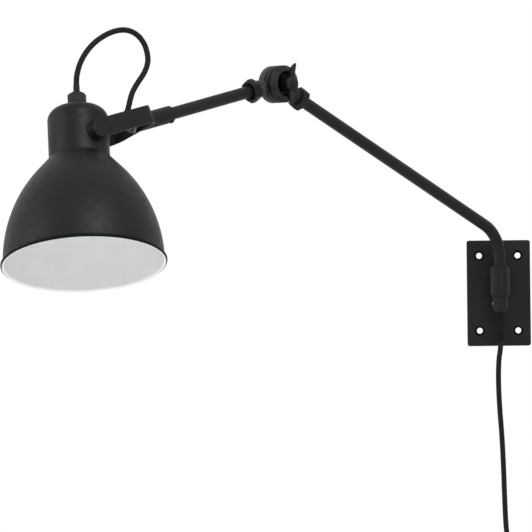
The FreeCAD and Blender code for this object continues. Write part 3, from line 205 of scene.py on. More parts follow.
def paintedHollowShade(finish, look, byDepth=False):
    # painted shade in the hollow of the elbow: darker and rougher within its bore, or on what reaches down
    # into it
    tree = finish.node_tree
    shader = tree.nodes["Principled BSDF"]
    where = next(node for node in tree.nodes if node.bl_idname == "ShaderNodeTexCoord")
    axis, spot = Vector(places["elbow"][1]), Vector(places["elbow"][3])
    away = tree.nodes.new("ShaderNodeVectorMath")
    away.operation = "SUBTRACT"
    away.inputs[1].default_value = spot * mm
    tree.links.new(where.outputs["Object"], away.inputs[0])
    along = tree.nodes.new("ShaderNodeVectorMath")
    along.operation = "DOT_PRODUCT"
    along.inputs[1].default_value = axis
    tree.links.new(away.outputs[0], along.inputs[0])
    if byDepth:
        shadeMask = spread(tree, along.outputs["Value"], 0.0, 1.0, look["inner"] * mm, look["outer"] * mm)
    else:
        beside = tree.nodes.new("ShaderNodeVectorMath")
        beside.operation = "CROSS_PRODUCT"
        beside.inputs[1].default_value = axis
        tree.links.new(away.outputs[0], beside.inputs[0])
        radius = tree.nodes.new("ShaderNodeVectorMath")
        radius.operation = "LENGTH"
        tree.links.new(beside.outputs[0], radius.inputs[0])
        shadeMask = spread(tree, radius.outputs["Value"], 0.0, 1.0, (look["radius"] - look["fade"]) * mm,
                      look["radius"] * mm)
    pale = shader.inputs["Base Color"].links[0].from_socket
    mix = tree.nodes.new("ShaderNodeMix")
    mix.data_type = "RGBA"
    tree.links.new(shadeMask, mix.inputs[0])
    mix.inputs[6].default_value = (*look["dark"], 1)
    tree.links.new(pale, mix.inputs[7])
    tree.links.new(mix.outputs[2], shader.inputs["Base Color"])
    rough = shader.inputs["Roughness"].links[0].from_socket
    rougher = tree.nodes.new("ShaderNodeMix")
    tree.links.new(shadeMask, rougher.inputs[0])
    rougher.inputs[2].default_value = look["rough"]
    tree.links.new(rough, rougher.inputs[3])
    tree.links.new(rougher.outputs[0], shader.inputs["Roughness"])
    return finish


enamelLook = {"colour": (0.83, 0.84, 0.85), "gloss": 0.28, "waves": 60, "waveDeep": 0.00008,
              "cloud": 0.965, "coat": 0.25, "coatGloss": 0.12}


def whiteEnamel(name, look):
    finish, tree, shader, where = startFinish(name)
    waves = grain(tree, where, look["waves"], 2.0)
    pale = look["colour"]
    cloudy = tuple(channel * look["cloud"] for channel in pale)
    tree.links.new(shades(tree, waves, [(0.35, cloudy), (0.65, pale)]), shader.inputs["Base Color"])
    shader.inputs["Roughness"].default_value = look["gloss"]
    tree.links.new(raised(tree, waves, look["waveDeep"]), shader.inputs["Normal"])
    shader.inputs["Coat Weight"].default_value = look["coat"]
    shader.inputs["Coat Roughness"].default_value = look["coatGloss"]
    return finish


def turnedMetal(name, dark, pale, gloss, scratches=900, deep=0.00002):
    finish, tree, shader, where = startFinish(name)
    lines = grain(tree, where, scratches, 3.0, (1, 1, 6))
    stain = grain(tree, where, 120, 4.0)
    tree.links.new(shades(tree, stain, [(0.3, dark), (0.7, pale)]), shader.inputs["Base Color"])
    shader.inputs["Metallic"].default_value = 1.0
    tree.links.new(spread(tree, lines, *gloss, 0.25, 0.75), shader.inputs["Roughness"])
    tree.links.new(raised(tree, lines, deep), shader.inputs["Normal"])
    return finish


def mouldedBlack(name, colour, gloss, grains=2200, deep=0.00004, shine=0.22):
    finish, tree, shader, where = startFinish(name)
    shader.inputs["Specular IOR Level"].default_value = shine
    fine = grain(tree, where, grains, 2.0)
    drift = grain(tree, where, 45, 3.0)
    brighter = tuple(channel * 1.5 for channel in colour)
    tree.links.new(shades(tree, drift, [(0.3, colour), (0.7, brighter)]), shader.inputs["Base Color"])
    tree.links.new(spread(tree, fine, *gloss, 0.3, 0.7), shader.inputs["Roughness"])
    tree.links.new(raised(tree, fine, deep), shader.inputs["Normal"])
    return finish


sleeveLook = {"dark": (0.0010, 0.0010, 0.0010), "pale": (0.022, 0.022, 0.024), "gloss": 0.75,
              "around": 7, "perMetre": 380, "deep": 0.0006, "fibres": 2600, "fuzz": 0.35,
              "shine": 0.07, "sheen": 0.03, "sheenGloss": 0.4}


def wovenSleeve(name, look):
    # two sets of threads wind round the cord in opposite ways and take turns on top
    finish, tree, shader, where = startFinish(name)
    split = tree.nodes.new("ShaderNodeSeparateXYZ")
    tree.links.new(where.outputs["UV"], split.inputs[0])
    along = sums(tree, "MULTIPLY", split.outputs["X"], look["perMetre"] / 2)
    winding = sums(tree, "MULTIPLY", split.outputs["Y"], look["around"])
    first = sums(tree, "ADD", along, winding)
    second = sums(tree, "SUBTRACT", along, winding)
    humps = []
    for way in (first, second):
        inside = sums(tree, "FRACT", way)
        humps.append(sums(tree, "SINE", sums(tree, "MULTIPLY", inside, math.pi)))
    cells = sums(tree, "ADD", sums(tree, "FLOOR", first), sums(tree, "FLOOR", second))
    odd = sums(tree, "PINGPONG", cells, 1.0)
    pick = tree.nodes.new("ShaderNodeMix")
    tree.links.new(odd, pick.inputs[0])
    tree.links.new(humps[0], pick.inputs[2])
    tree.links.new(humps[1], pick.inputs[3])
    ridge = pick.outputs[0]
    fibres = grain(tree, where, look["fibres"], 2.0)
    height = sums(tree, "ADD", ridge, sums(tree, "MULTIPLY", fibres, look["fuzz"]))
    # painted highlight and painted shade: thread tops are paler and the gaps between threads near-black
    tree.links.new(shades(tree, height, [(0.55, look["dark"]), (1.0, look["pale"])]),
                   shader.inputs["Base Color"])
    shader.inputs["Roughness"].default_value = look["gloss"]
    shader.inputs["Specular IOR Level"].default_value = look["shine"]
    shader.inputs["Sheen Weight"].default_value = look["sheen"]
    shader.inputs["Sheen Roughness"].default_value = look["sheenGloss"]
    tree.links.new(raised(tree, height, look["deep"]), shader.inputs["Normal"])
    return finish


bandLook = {"dark": (0.006, 0.006, 0.007), "pale": (0.024, 0.024, 0.026), "gloss": 0.85, "sheen": 0.1,
            "pile": 1800, "deep": 0.0005}


def loopBand(name, look):
    finish, tree, shader, where = startFinish(name)
    pile = grain(tree, where, look["pile"], 2.0)
    tree.links.new(shades(tree, pile, [(0.3, look["dark"]), (0.7, look["pale"])]),
                   shader.inputs["Base Color"])
    shader.inputs["Roughness"].default_value = look["gloss"]
    shader.inputs["Sheen Weight"].default_value = look["sheen"]
    tree.links.new(raised(tree, pile, look["deep"]), shader.inputs["Normal"])
    return finish


finishes = {
    "black_coat": powderCoat("powderCoat", powderLook),
    "cast_black": castBlack("castBlack", castLook),
    "shade_enamel": powderCoat("shadeCoat", {**powderLook, "waves": 160, "dark": (0.0050, 0.0049, 0.0066),
                                             "pale": (0.0078, 0.0076, 0.0104)}),
    "dark_steel": turnedMetal("blackenedSteel", (0.005, 0.005, 0.0055), (0.014, 0.014, 0.015), (0.34, 0.5)),
    "bright_steel": turnedMetal("zincSteel", (0.36, 0.36, 0.37), (0.50, 0.50, 0.51), (0.26, 0.42)),
    "black_plastic": mouldedBlack("mouldedBlack", (0.0062, 0.0062, 0.0067), (0.38, 0.52), shine=0.15),
    "plug_plastic": mouldedBlack("plugBlack", (0.010, 0.010, 0.0105), (0.42, 0.58), 1600, 0.00007),
    "woven_cord": wovenSleeve("wovenSleeve", sleeveLook),
    "tie_band": loopBand("loopBand", bandLook),
    "brass": turnedMetal("holderBrass", (0.62, 0.45, 0.20), (0.78, 0.60, 0.30), (0.26, 0.42)),
    "porcelain": whiteEnamel("insulatorGlaze", {**enamelLook, "colour": (0.80, 0.79, 0.75), "gloss": 0.35}),
}
insideEnamel = whiteEnamel("insideEnamel", enamelLook)
dulledZinc = turnedMetal("dulledZinc", (0.10, 0.10, 0.10), (0.24, 0.24, 0.24), (0.3, 0.55))
reliefRubber = mouldedBlack("reliefRubber", (0.0055, 0.0055, 0.0058), (0.5, 0.7), shine=0.06)
beadShadeBlack = mouldedBlack("beadShadeBlack", (0.0016, 0.0019, 0.0030), (0.3, 0.45), 600, 0.00003, shine=0.08)
# painted shade: a near-black finish for grooves and countersinks where shade falls
paintedShadeBlack = mouldedBlack("paintedShadeBlack", (0.0010, 0.0010, 0.0011), (0.7, 0.9), shine=0.03)
dullCast = {**castLook, "shine": 0.08, "dark": (0.010, 0.010, 0.0105), "pale": (0.026, 0.026, 0.027)}
# painted shade: cast finishes darkened in the elbow's hollow, by distance from the hinge axis or by depth
# along it
hollowShadedCast = paintedHollowShade(castBlack("hollowShadedCast", dullCast), hollowShadeLook)
depthShadedCast = paintedHollowShade(castBlack("depthShadedCast", dullCast), hollowShadeLook, byDepth=True)
speckledCast = castBlack("speckledCast", {**castLook, "pale": (0.060, 0.060, 0.063), "lumps": 460,
                                          "lumpDeep": 0.0012, "gloss": (0.3, 0.6), "shine": 0.25})
ownFinish = {"collar_set_screw": dulledZinc, "cord_nipple": dulledZinc, "nipple_nut": dulledZinc,
             "pivot_washers": dulledZinc, "pivot_nuts": dulledZinc, "holder_nipple": dulledZinc,
             "holder_nut": dulledZinc, "strain_relief": reliefRubber, "knuckle_lower": hollowShadedCast,
             "knuckle_upper": speckledCast, "clamp_bolt": finishes["black_coat"]}
print("finishes made:", len(bpy.data.materials))

for subpart in frame["record"]["subparts"]:
    piece = nodes[subpart["node"]]
    for spot in piece.material_slots:
        spot.link = "OBJECT"
        spot.material = ownFinish.get(subpart["node"], finishes[subpart["material_slot"]])
print("parts finished")


def alone(piece):
    bpy.ops.object.select_all(action="DESELECT")
    piece.select_set(True)
    bpy.context.view_layer.objects.active = piece


def rest(piece):
    # place and turn go into the mesh
    alone(piece)
    bpy.ops.object.transform_apply(location=True, rotation=True, scale=True)


def useModifier(piece, kind, **settings):
    alone(piece)
    step = piece.modifiers.new(kind.lower(), kind)
    for label, value in settings.items():
        setattr(step, label, value)
    bpy.ops.object.modifier_apply(modifier=step.name)


def combine(piece, other, operation):
    useModifier(piece, "BOOLEAN", operation=operation, object=other)
    bpy.data.objects.remove(other)


def mend(piece):
    # slivers that the cuts leave are merged and closed
    alone(piece)
    bpy.ops.object.mode_set(mode="EDIT")
    bpy.ops.mesh.select_all(action="SELECT")
    bpy.ops.mesh.remove_doubles(threshold=0.00002)
    bpy.ops.mesh.fill_holes(sides=8)
    bpy.ops.mesh.select_all(action="SELECT")
    bpy.ops.mesh.normals_make_consistent(inside=False)
    bpy.ops.object.mode_set(mode="OBJECT")


def turned(name, rings, sides=64, closed=True):
    # a ring of edges drawn out along the outline, as on a lathe; rings are radius and height in mm
    bpy.ops.object.select_all(action="DESELECT")
    radius, height = max(rings[0][0], 0.001) * mm, rings[0][1] * mm
    bpy.ops.mesh.primitive_circle_add(vertices=sides, radius=radius, location=(0, 0, height))
    piece = bpy.context.object
    piece.name = name
    rest(piece)
    bpy.ops.object.mode_set(mode="EDIT")
    bpy.ops.mesh.select_mode(type="VERT")
    bpy.ops.mesh.select_all(action="SELECT")
    for wide, high in rings[1:]:
        wide, high = max(wide, 0.001) * mm, high * mm
        bpy.ops.mesh.extrude_region_move(TRANSFORM_OT_translate={"value": (0, 0, high - height)})
        share = wide / radius
        bpy.ops.transform.resize(value=(share, share, 1), center_override=(0, 0, high))
        radius, height = wide, high
    bpy.ops.mesh.select_all(action="SELECT")
    bpy.ops.mesh.remove_doubles(threshold=0.00001)
    if closed:
        bpy.ops.mesh.normals_make_consistent(inside=False)
    bpy.ops.object.mode_set(mode="OBJECT")
    return piece


def wear(piece, *looks):
    piece.data.materials.clear()
    for look in looks:
        piece.data.materials.append(look)


def smooth(piece, degrees=35):
    alone(piece)
    bpy.ops.object.shade_smooth_by_angle(angle=math.radians(degrees))


bodyOf = {node: body for body, members in frame["record"]["behaviour"]["bodies"].items() for node in members}


def settle(piece, frameName, node):
    # the finished piece goes to its place, and stands for the node there
    piece.matrix_world = placeOf(frameName) @ piece.matrix_world
    rest(piece)
    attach(piece, bodyOf[node])
    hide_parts(node)


def arc(middle, radius, start, end, steps):
    return [(middle[0] + radius * math.cos(math.radians(start + (end - start) * n / steps)),
             middle[1] + radius * math.sin(math.radians(start + (end - start) * n / steps)))
            for n in range(steps + 1)]


# shade: spun shell, black outside and white inside, with a rolled bead at the rim whose outer half is painted
# near-black as shade

shadeLook = {"hole": 5.05, "neckTop": 31.0, "neckRadius": 28.75, "shoulder": 12.0, "neckBottom": -19.1,
             "root": 3.0, "bellMiddle": (-56.76, -121.42), "bellRadius": 132.0, "bellFrom": 41.98,
             "bellTo": -0.5, "wall": 1.2, "beadMiddle": (75.8, -122.6), "bead": 1.8, "sides": 176}


def spinShade(look):
    neck, top, bend = look["neckRadius"], look["neckTop"], look["shoulder"]
    outline = [(look["hole"], top), (neck - bend - 4, top)]
    outline += arc((neck - bend, top - bend), bend, 90, 0, 10)
    outline += [(neck, -4.0)]
    outline += arc((neck + look["root"], look["neckBottom"] + 1.15), look["root"], 180, 222, 5)
    outline += arc(look["bellMiddle"], look["bellRadius"], look["bellFrom"], look["bellTo"], 26)
    shade = turned("spunShade", outline, look["sides"], closed=False)
    first = shade.data.polygons[len(shade.data.polygons) // 2]
    if first.normal.dot(Vector((first.center.x, first.center.y, 0))) < 0:
        shade.data.flip_normals()
    wear(shade, finishes["shade_enamel"], insideEnamel)
    useModifier(shade, "SOLIDIFY", thickness=look["wall"] * mm, offset=-1, material_offset=1)
    bpy.ops.mesh.primitive_torus_add(major_segments=look["sides"], minor_segments=18,
                                     major_radius=look["beadMiddle"][0] * mm,
                                     minor_radius=look["bead"] * mm,
                                     location=(0, 0, look["beadMiddle"][1] * mm))
    bead = bpy.context.object
    rest(bead)
    # painted shade: the bead's outer faces are near-black, for the shade under the rim
    wear(bead, beadShadeBlack, insideEnamel)
    for face in bead.data.polygons:
        out = Vector((face.center.x, face.center.y, 0)).normalized()
        face.material_index = 1 if face.normal.dot(out) < 0.02 else 0
    bead.select_set(True)
    shade.select_set(True)
    bpy.context.view_layer.objects.active = shade
    bpy.ops.object.join()
    smooth(shade, 32)
    settle(shade, "shade", "shade")


spinShade(shadeLook)
print("shade spun")


# cord entry on the shade: tall hexagon nut with a chamfered top, and the sleeve of the cord

entryLook = {"corner": 8.9, "foot": 31.0, "side": 45.2, "top": 48.6, "neck": 3.2, "sleeve": 3.05,
             "sleeveTop": 56.0, "bore": 2.75}


def makeEntry(look):
    # the chamfer is where a turned cone and the hexagon bar meet
    blank = turned("entryNut", [(0, look["foot"]), (look["corner"] + 1.5, look["foot"]),
                                (look["corner"] + 1.5, look["side"] - 0.9),
                                (look["neck"] + 0.5, look["top"]), (0, look["top"])], 72)
    bpy.ops.object.select_all(action="DESELECT")
    bpy.ops.mesh.primitive_cylinder_add(vertices=6, radius=look["corner"] * mm, depth=40 * mm,
                                        location=(0, 0, 40 * mm))
    bar = bpy.context.object
    combine(blank, bar, "INTERSECT")
    useModifier(blank, "BEVEL", width=0.35 * mm, segments=2, limit_method="ANGLE",
                angle_limit=math.radians(25))
    wear(blank, finishes["black_plastic"])
    smooth(blank)
    settle(blank, "shade", "entry_nut")
    low, high, wide = look["top"] - 0.6, look["sleeveTop"], look["sleeve"]
    sleeve = turned("cordSleeve", [(look["bore"], low), (wide + 0.5, low), (wide + 0.35, low + 1.0),
                                   (wide, low + 1.6), (wide, high - 0.5), (wide - 0.2, high - 0.1),
                                   (look["bore"], high), (look["bore"], low)], 40)
    wear(sleeve, finishes["black_plastic"])
    smooth(sleeve)
    settle(sleeve, "shade", "entry_collar")


makeEntry(entryLook)
print("cord entry made")


# wing nut: round hub with two cast ears that taper to rounded points

wingLook = {"seat": 11.1, "rise": 13.0, "base": 7.5, "tip": 5.75, "lean": 5.0, "bore": 4.05,
            "earRoot": (3.0, 6.6, 2.6, 4.8), "faceGap": 0.1,
            "ears": [(5.0, 6.9, 2.3, 5.4), (10.0, 7.6, 2.0, 5.2), (15.6, 9.2, 1.6, 4.3),
                     (18.8, 11.2, 1.1, 2.6), (20.1, 12.6, 0.5, 0.9)]}


def makeWingNut(look):
    hub = turned("wingNut", [(look["bore"], 0), (look["base"] - 0.5, 0), (look["base"], 0.5),
                             (look["tip"] + 0.9, look["rise"] * 0.62), (look["tip"], look["rise"] - 1.0),
                             (look["tip"] - 0.9, look["rise"]), (look["bore"], look["rise"]),
                             (look["bore"], 0)], 48)
    # an ear is a block drawn outwards and up in steps; a row is reach, height, half width and half height
    rootReach, rootHeight, rootWide, rootTall = look["earRoot"]
    rim = (rootReach - look["faceGap"]) * mm
    ears = []
    for side in (1, -1):
        bpy.ops.object.select_all(action="DESELECT")
        bpy.ops.mesh.primitive_cube_add(size=1, location=(rootReach / 2 * side * mm, 0, rootHeight * mm))
        ear = bpy.context.object
        ear.scale = (rootReach * mm, rootWide * 2 * mm, rootTall * 2 * mm)
        rest(ear)
        bpy.ops.object.mode_set(mode="EDIT")
        bpy.ops.mesh.select_all(action="DESELECT")
        bpy.ops.object.mode_set(mode="OBJECT")
        for face in ear.data.polygons:
            face.select = face.normal.x * side > 0.5
        for edge in ear.data.edges:
            edge.select = all(ear.data.vertices[n].co.x * side > rim for n in edge.vertices)
        for spot in ear.data.vertices:
            spot.select = spot.co.x * side > rim
        bpy.ops.object.mode_set(mode="EDIT")
        reach, height, wide, tall = look["earRoot"]
        for out, high, halfWide, halfTall in look["ears"]:
            bpy.ops.mesh.extrude_region_move(
                TRANSFORM_OT_translate={"value": ((out - reach) * side * mm, 0, (high - height) * mm)})
            bpy.ops.transform.resize(value=(1, halfWide / wide, halfTall / tall),
                                     center_override=(out * side * mm, 0, high * mm))
            reach, height, wide, tall = out, high, halfWide, halfTall
        bpy.ops.object.mode_set(mode="OBJECT")
        useModifier(ear, "SUBSURF", levels=2, render_levels=2)
        ears.append(ear)
    for ear in ears:
        combine(hub, ear, "UNION")
    # painted shade: the hub's foot, down in the elbow's hollow, is darkened
    wear(hub, depthShadedCast)
    smooth(hub, 40)
    # the nut's own axis is turned onto the clamp bolt's
    upright = Matrix.Rotation(math.radians(-90), 4, "X")
    onBolt = upright @ Matrix.Rotation(math.radians(90 - look["lean"]), 4, "Z")
    hub.matrix_world = Matrix.Translation((0, look["seat"] * mm, 0)) @ onBolt
    settle(hub, "elbow", "wing_nut")


makeWingNut(wingLook)
print("wing nut cast")


# nuts that hold the tubes in the elbow's bosses: chamfered hexagons with a dished outer face

armNutLook = {"corner": 12.0, "low": 27.5, "height": 8.5, "turnDown": 2.5, "slope": 1.9, "seat": 7.05,
              "cover": 3.7, "bore": 6.05, "dish": 9.0, "dishDeep": 2.5}


def makeArmNut(name, look, frameName, node):
    corner, high = look["corner"], look["height"]
    nut = turned(name, [(look["seat"], 0), (corner - look["turnDown"], 0), (corner + 0.3, look["slope"]),
                        (corner + 0.3, high - look["slope"]), (corner - look["turnDown"], high),
                        (look["dish"], high), (look["bore"], high - look["dishDeep"]),
                        (look["bore"], look["cover"]), (look["seat"], look["cover"]), (look["seat"], 0)], 72)
    bpy.ops.object.select_all(action="DESELECT")
    bpy.ops.mesh.primitive_cylinder_add(vertices=6, radius=corner * mm, depth=high * 3 * mm,
                                        rotation=(0, 0, math.radians(90)))
    bar = bpy.context.object
    combine(nut, bar, "INTERSECT")
    useModifier(nut, "BEVEL", width=0.5 * mm, segments=3, limit_method="ANGLE", angle_limit=math.radians(24))
    wear(nut, finishes["black_coat"])
    smooth(nut)
    endways = Matrix.Rotation(math.radians(90), 4, "Y")
    nut.matrix_world = Matrix.Translation((look["low"] * mm, 0, 0)) @ endways
    settle(nut, frameName, node)


makeArmNut("lowerArmNut", armNutLook, "nearKnuckle", "arm_nut_lower")
makeArmNut("upperArmNut", armNutLook, "farKnuckle", "arm_nut_upper")
print("arm nuts made")


# near half of the elbow: turned casting with a groove, a hollow for the nut, and a boss for the tube

knuckleLook = {"outer": 18.3, "shoulder": 10.0, "top": 13.4, "bevel": 4.8, "groove": (5.9, 7.5, 1.3),
               "hollow": 12.5, "floor": 7.4, "bore": 4.05, "root": 8.5, "rootReach": 23.0, "taper": 1.5,
               "boss": 7.0, "reach": 31.0, "socket": 6.05, "socketFrom": 18.9, "bossFrom": 13.0,
               "clearance": 18.7}


def makeNearHalf(look):
    outer, top, hollow, floor = look["outer"], look["top"], look["hollow"], look["floor"]
    low, high, deep = look["groove"]
    half = turned("elbowNearHalf", [(look["bore"], 0), (outer - 0.6, 0), (outer, 0.6), (outer, low),
                                    (outer - deep, low + 0.2), (outer - deep, high - 0.2), (outer, high),
                                    (outer, look["shoulder"] - 0.4), (outer - 0.3, look["shoulder"] + 0.2),
                                    (outer - look["bevel"] + 0.4, top - 0.3),
                                    (outer - look["bevel"], top), (hollow, top), (hollow, floor),
                                    (look["bore"], floor), (look["bore"], 0)], 96)
    upright = Matrix.Rotation(math.radians(-90), 4, "X")
    half.matrix_world = upright
    rest(half)
    endways = Matrix.Rotation(math.radians(90), 4, "Y")
    reach, boss, root, inside = look["reach"], look["boss"], look["root"], look["bossFrom"]
    stub = turned("boss", [(0, inside), (root, inside), (root, look["rootReach"] - 0.4),
                           (root - 0.2, look["rootReach"]), (boss, look["rootReach"] + look["taper"]),
                           (boss, reach - 0.5), (boss - 0.5, reach), (0, reach)], 64)
    stub.matrix_world = endways
    rest(stub)
    below = turned("below", [(0, -12), (look["clearance"], -12), (look["clearance"], 0.05), (0, 0.05)], 96)
    below.matrix_world = upright
    rest(below)
    combine(stub, below, "DIFFERENCE")
    socket = turned("socket", [(0, look["socketFrom"]), (look["socket"], look["socketFrom"]),
                               (look["socket"], reach + 4), (0, reach + 4)], 64)
    socket.matrix_world = endways
    rest(socket)
    combine(stub, socket, "DIFFERENCE")
    combine(half, stub, "UNION")
    # painted shade: the hollow is darkened, and the groove's faces get the near-black finish
    wear(half, hollowShadedCast, paintedShadeBlack)
    for face in half.data.polygons:
        away = math.hypot(face.center.x, face.center.z)
        if low * mm < face.center.y < high * mm and away < (outer - 0.2) * mm and away > hollow * mm + 0.001:
            face.material_index = 1
    smooth(half, 30)
    settle(half, "nearKnuckle", "knuckle_lower")


makeNearHalf(knuckleLook)
print("elbow half cast")


# yoke: one flat strap with round bends, its legs spread over the shade's neck

strapLook = {"baseHalf": 24.2, "bend": 11.0, "thick": 2.0, "half": 8.75, "pivot": 72.2, "leg": 36.5,
             "spread": [(16.0, 35.4), (24.0, 35.8), (34.0, 36.2), (48.0, 36.5)],
             "headHole": 4.55, "nippleHole": 5.05, "edge": 0.45}


def makeStrap(look):
    half, bend, pivot = look["half"], look["bend"], look["pivot"]
    route = [(x, y, half) for x, y in arc((bend, look["baseHalf"]), bend, 180, 95, 8)]
    route += [(x, y, half) for x, y in look["spread"]] + [(pivot, look["leg"], half)]
    for degrees in (15, 30, 45, 58, 70, 80, 87):
        turn = math.radians(degrees)
        route.append((pivot + half * math.sin(turn), look["leg"], half * math.cos(turn)))
    bpy.ops.object.select_all(action="DESELECT")
    bpy.ops.mesh.primitive_plane_add(size=1, rotation=(0, math.radians(-90), 0))
    strap = bpy.context.object
    strap.name = "yokeStrap"
    strap.scale = (half * 2 * mm, look["baseHalf"] * 2 * mm, 1)
    rest(strap)
    for side in (1, -1):
        bpy.ops.object.mode_set(mode="EDIT")
        bpy.ops.mesh.select_all(action="DESELECT")
        bpy.ops.object.mode_set(mode="OBJECT")
        rim = max(spot.co.y * side for spot in strap.data.vertices) - 0.1 * mm
        for spot in strap.data.vertices:
            spot.select = spot.co.y * side > rim
        for edge in strap.data.edges:
            edge.select = all(strap.data.vertices[n].co.y * side > rim for n in edge.vertices)
        bpy.ops.object.mode_set(mode="EDIT")
        last = route[0]
        for point in route[1:]:
            step = ((point[0] - last[0]) * mm, (point[1] - last[1]) * side * mm, 0)
            bpy.ops.mesh.extrude_region_move(TRANSFORM_OT_translate={"value": step})
            bpy.ops.transform.resize(value=(1, 1, point[2] / last[2]), center_override=(0, 0, 0))
            last = point
        bpy.ops.object.mode_set(mode="OBJECT")
    bpy.ops.object.mode_set(mode="EDIT")
    bpy.ops.mesh.select_all(action="SELECT")
    bpy.ops.mesh.normals_make_consistent(inside=False)
    bpy.ops.object.mode_set(mode="OBJECT")
    base = max(strap.data.polygons, key=lambda face: face.area if abs(face.normal.x) > 0.9 else 0)
    if base.normal.x > 0:
        strap.data.flip_normals()
    useModifier(strap, "SOLIDIFY", thickness=look["thick"] * mm, offset=-1, use_even_offset=True)
    drills = ((look["headHole"], (pivot, 0, 0), (90, 0, 0)), (look["nippleHole"], (0, 0, 0), (0, 90, 0)))
    for radius, spot, turn in drills:
        bpy.ops.object.select_all(action="DESELECT")
        bpy.ops.mesh.primitive_cylinder_add(vertices=48, radius=radius * mm, depth=90 * mm,
                                            location=[number * mm for number in spot],
                                            rotation=[math.radians(number) for number in turn])
        drill = bpy.context.object
        combine(strap, drill, "DIFFERENCE")
    useModifier(strap, "BEVEL", width=look["edge"] * mm, segments=3, limit_method="ANGLE",
                angle_limit=math.radians(50))
    wear(strap, finishes["black_coat"])
    smooth(strap, 40)
    settle(strap, "yoke", "yoke_strap")


makeStrap(strapLook)
print("yoke bent")


# wall plate: rounded corners, a bevelled front edge and countersinks painted near-black as shade

plateLook = {"corner": 2.6, "edge": 1.0, "pitch": (20.0, 39.0), "bore": 3.1, "head": 5.0,
             "thick": 3}


def makePlate(look):
    low, high = (Vector(corner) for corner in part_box("wall_plate"))
    middle, size = (low + high) / 2, high - low
    bpy.ops.object.select_all(action="DESELECT")
    bpy.ops.mesh.primitive_cube_add(size=1, location=middle)
    plate = bpy.context.object
    plate.name = "wallPlate"
    plate.scale = size
    rest(plate)
    for way, offset, steps in (("corner", look["corner"], 8), ("edge", look["edge"], 4)):
        bpy.ops.object.mode_set(mode="EDIT")
        bpy.ops.mesh.select_all(action="DESELECT")
        bpy.ops.mesh.select_mode(type="EDGE")
        bpy.ops.object.mode_set(mode="OBJECT")
        for edge in plate.data.edges:
            first, second = (plate.data.vertices[n].co for n in edge.vertices)
            if way == "corner":
                edge.select = abs(first.y - second.y) > size.y * 0.5
            else:
                edge.select = max(first.y, second.y) < low.y + 0.1 * mm
        bpy.ops.object.mode_set(mode="EDIT")
        bpy.ops.mesh.bevel(offset=offset * mm, segments=steps, affect="EDGES")
        bpy.ops.object.mode_set(mode="OBJECT")
    halfAcross, halfUp = look["pitch"]
    holes = [(halfAcross * side, middle.z / mm + halfUp * level) for side in (-1, 1) for level in (-1, 1)]
    head, bore, thick = look["head"], look["bore"], look["thick"]
    inward = Matrix.Rotation(math.radians(-90), 4, "X")
    for x, z in holes:
        drill = turned("drill", [(0, -thick * 2), (head + 1, -thick * 2), (head + 1, -thick - 1),
                                 (head, -thick), (bore, -thick + head - bore), (bore, thick), (0, thick)], 40)
        drill.matrix_world = Matrix.Translation((x * mm, low.y + thick * mm, z * mm)) @ inward
        rest(drill)
        combine(plate, drill, "DIFFERENCE")
    mend(plate)
    wear(plate, finishes["black_coat"], paintedShadeBlack)
    # painted shade: the countersinks' sloped faces get the near-black finish
    for face in plate.data.polygons:
        near = min(math.hypot(face.center.x - x * mm, face.center.z - z * mm) for x, z in holes)
        if near < head * mm and abs(face.normal.y) < 0.98:
            face.material_index = 1
    smooth(plate, 35)
    settle(plate, "wall", "wall_plate")


makePlate(plateLook)
print("wall plate cut")


# mains plug: moulded body with a waist, finger panels and a ribbed relief

plugLook = {"reliefTip": 3.7, "reliefRoot": 4.8, "relief": 22.0, "ribs": 6, "ribDeep": 0.8, "thick": 13.7,
            "body": [(22.0, 12.0), (25.5, 15.0), (31.0, 24.5), (36.5, 32.5), (41.0, 35.3), (56.0, 35.3)],
            "edge": 2.2, "panel": 3.2, "panelDeep": 0.7, "panelTop": -26, "panelFoot": -44}


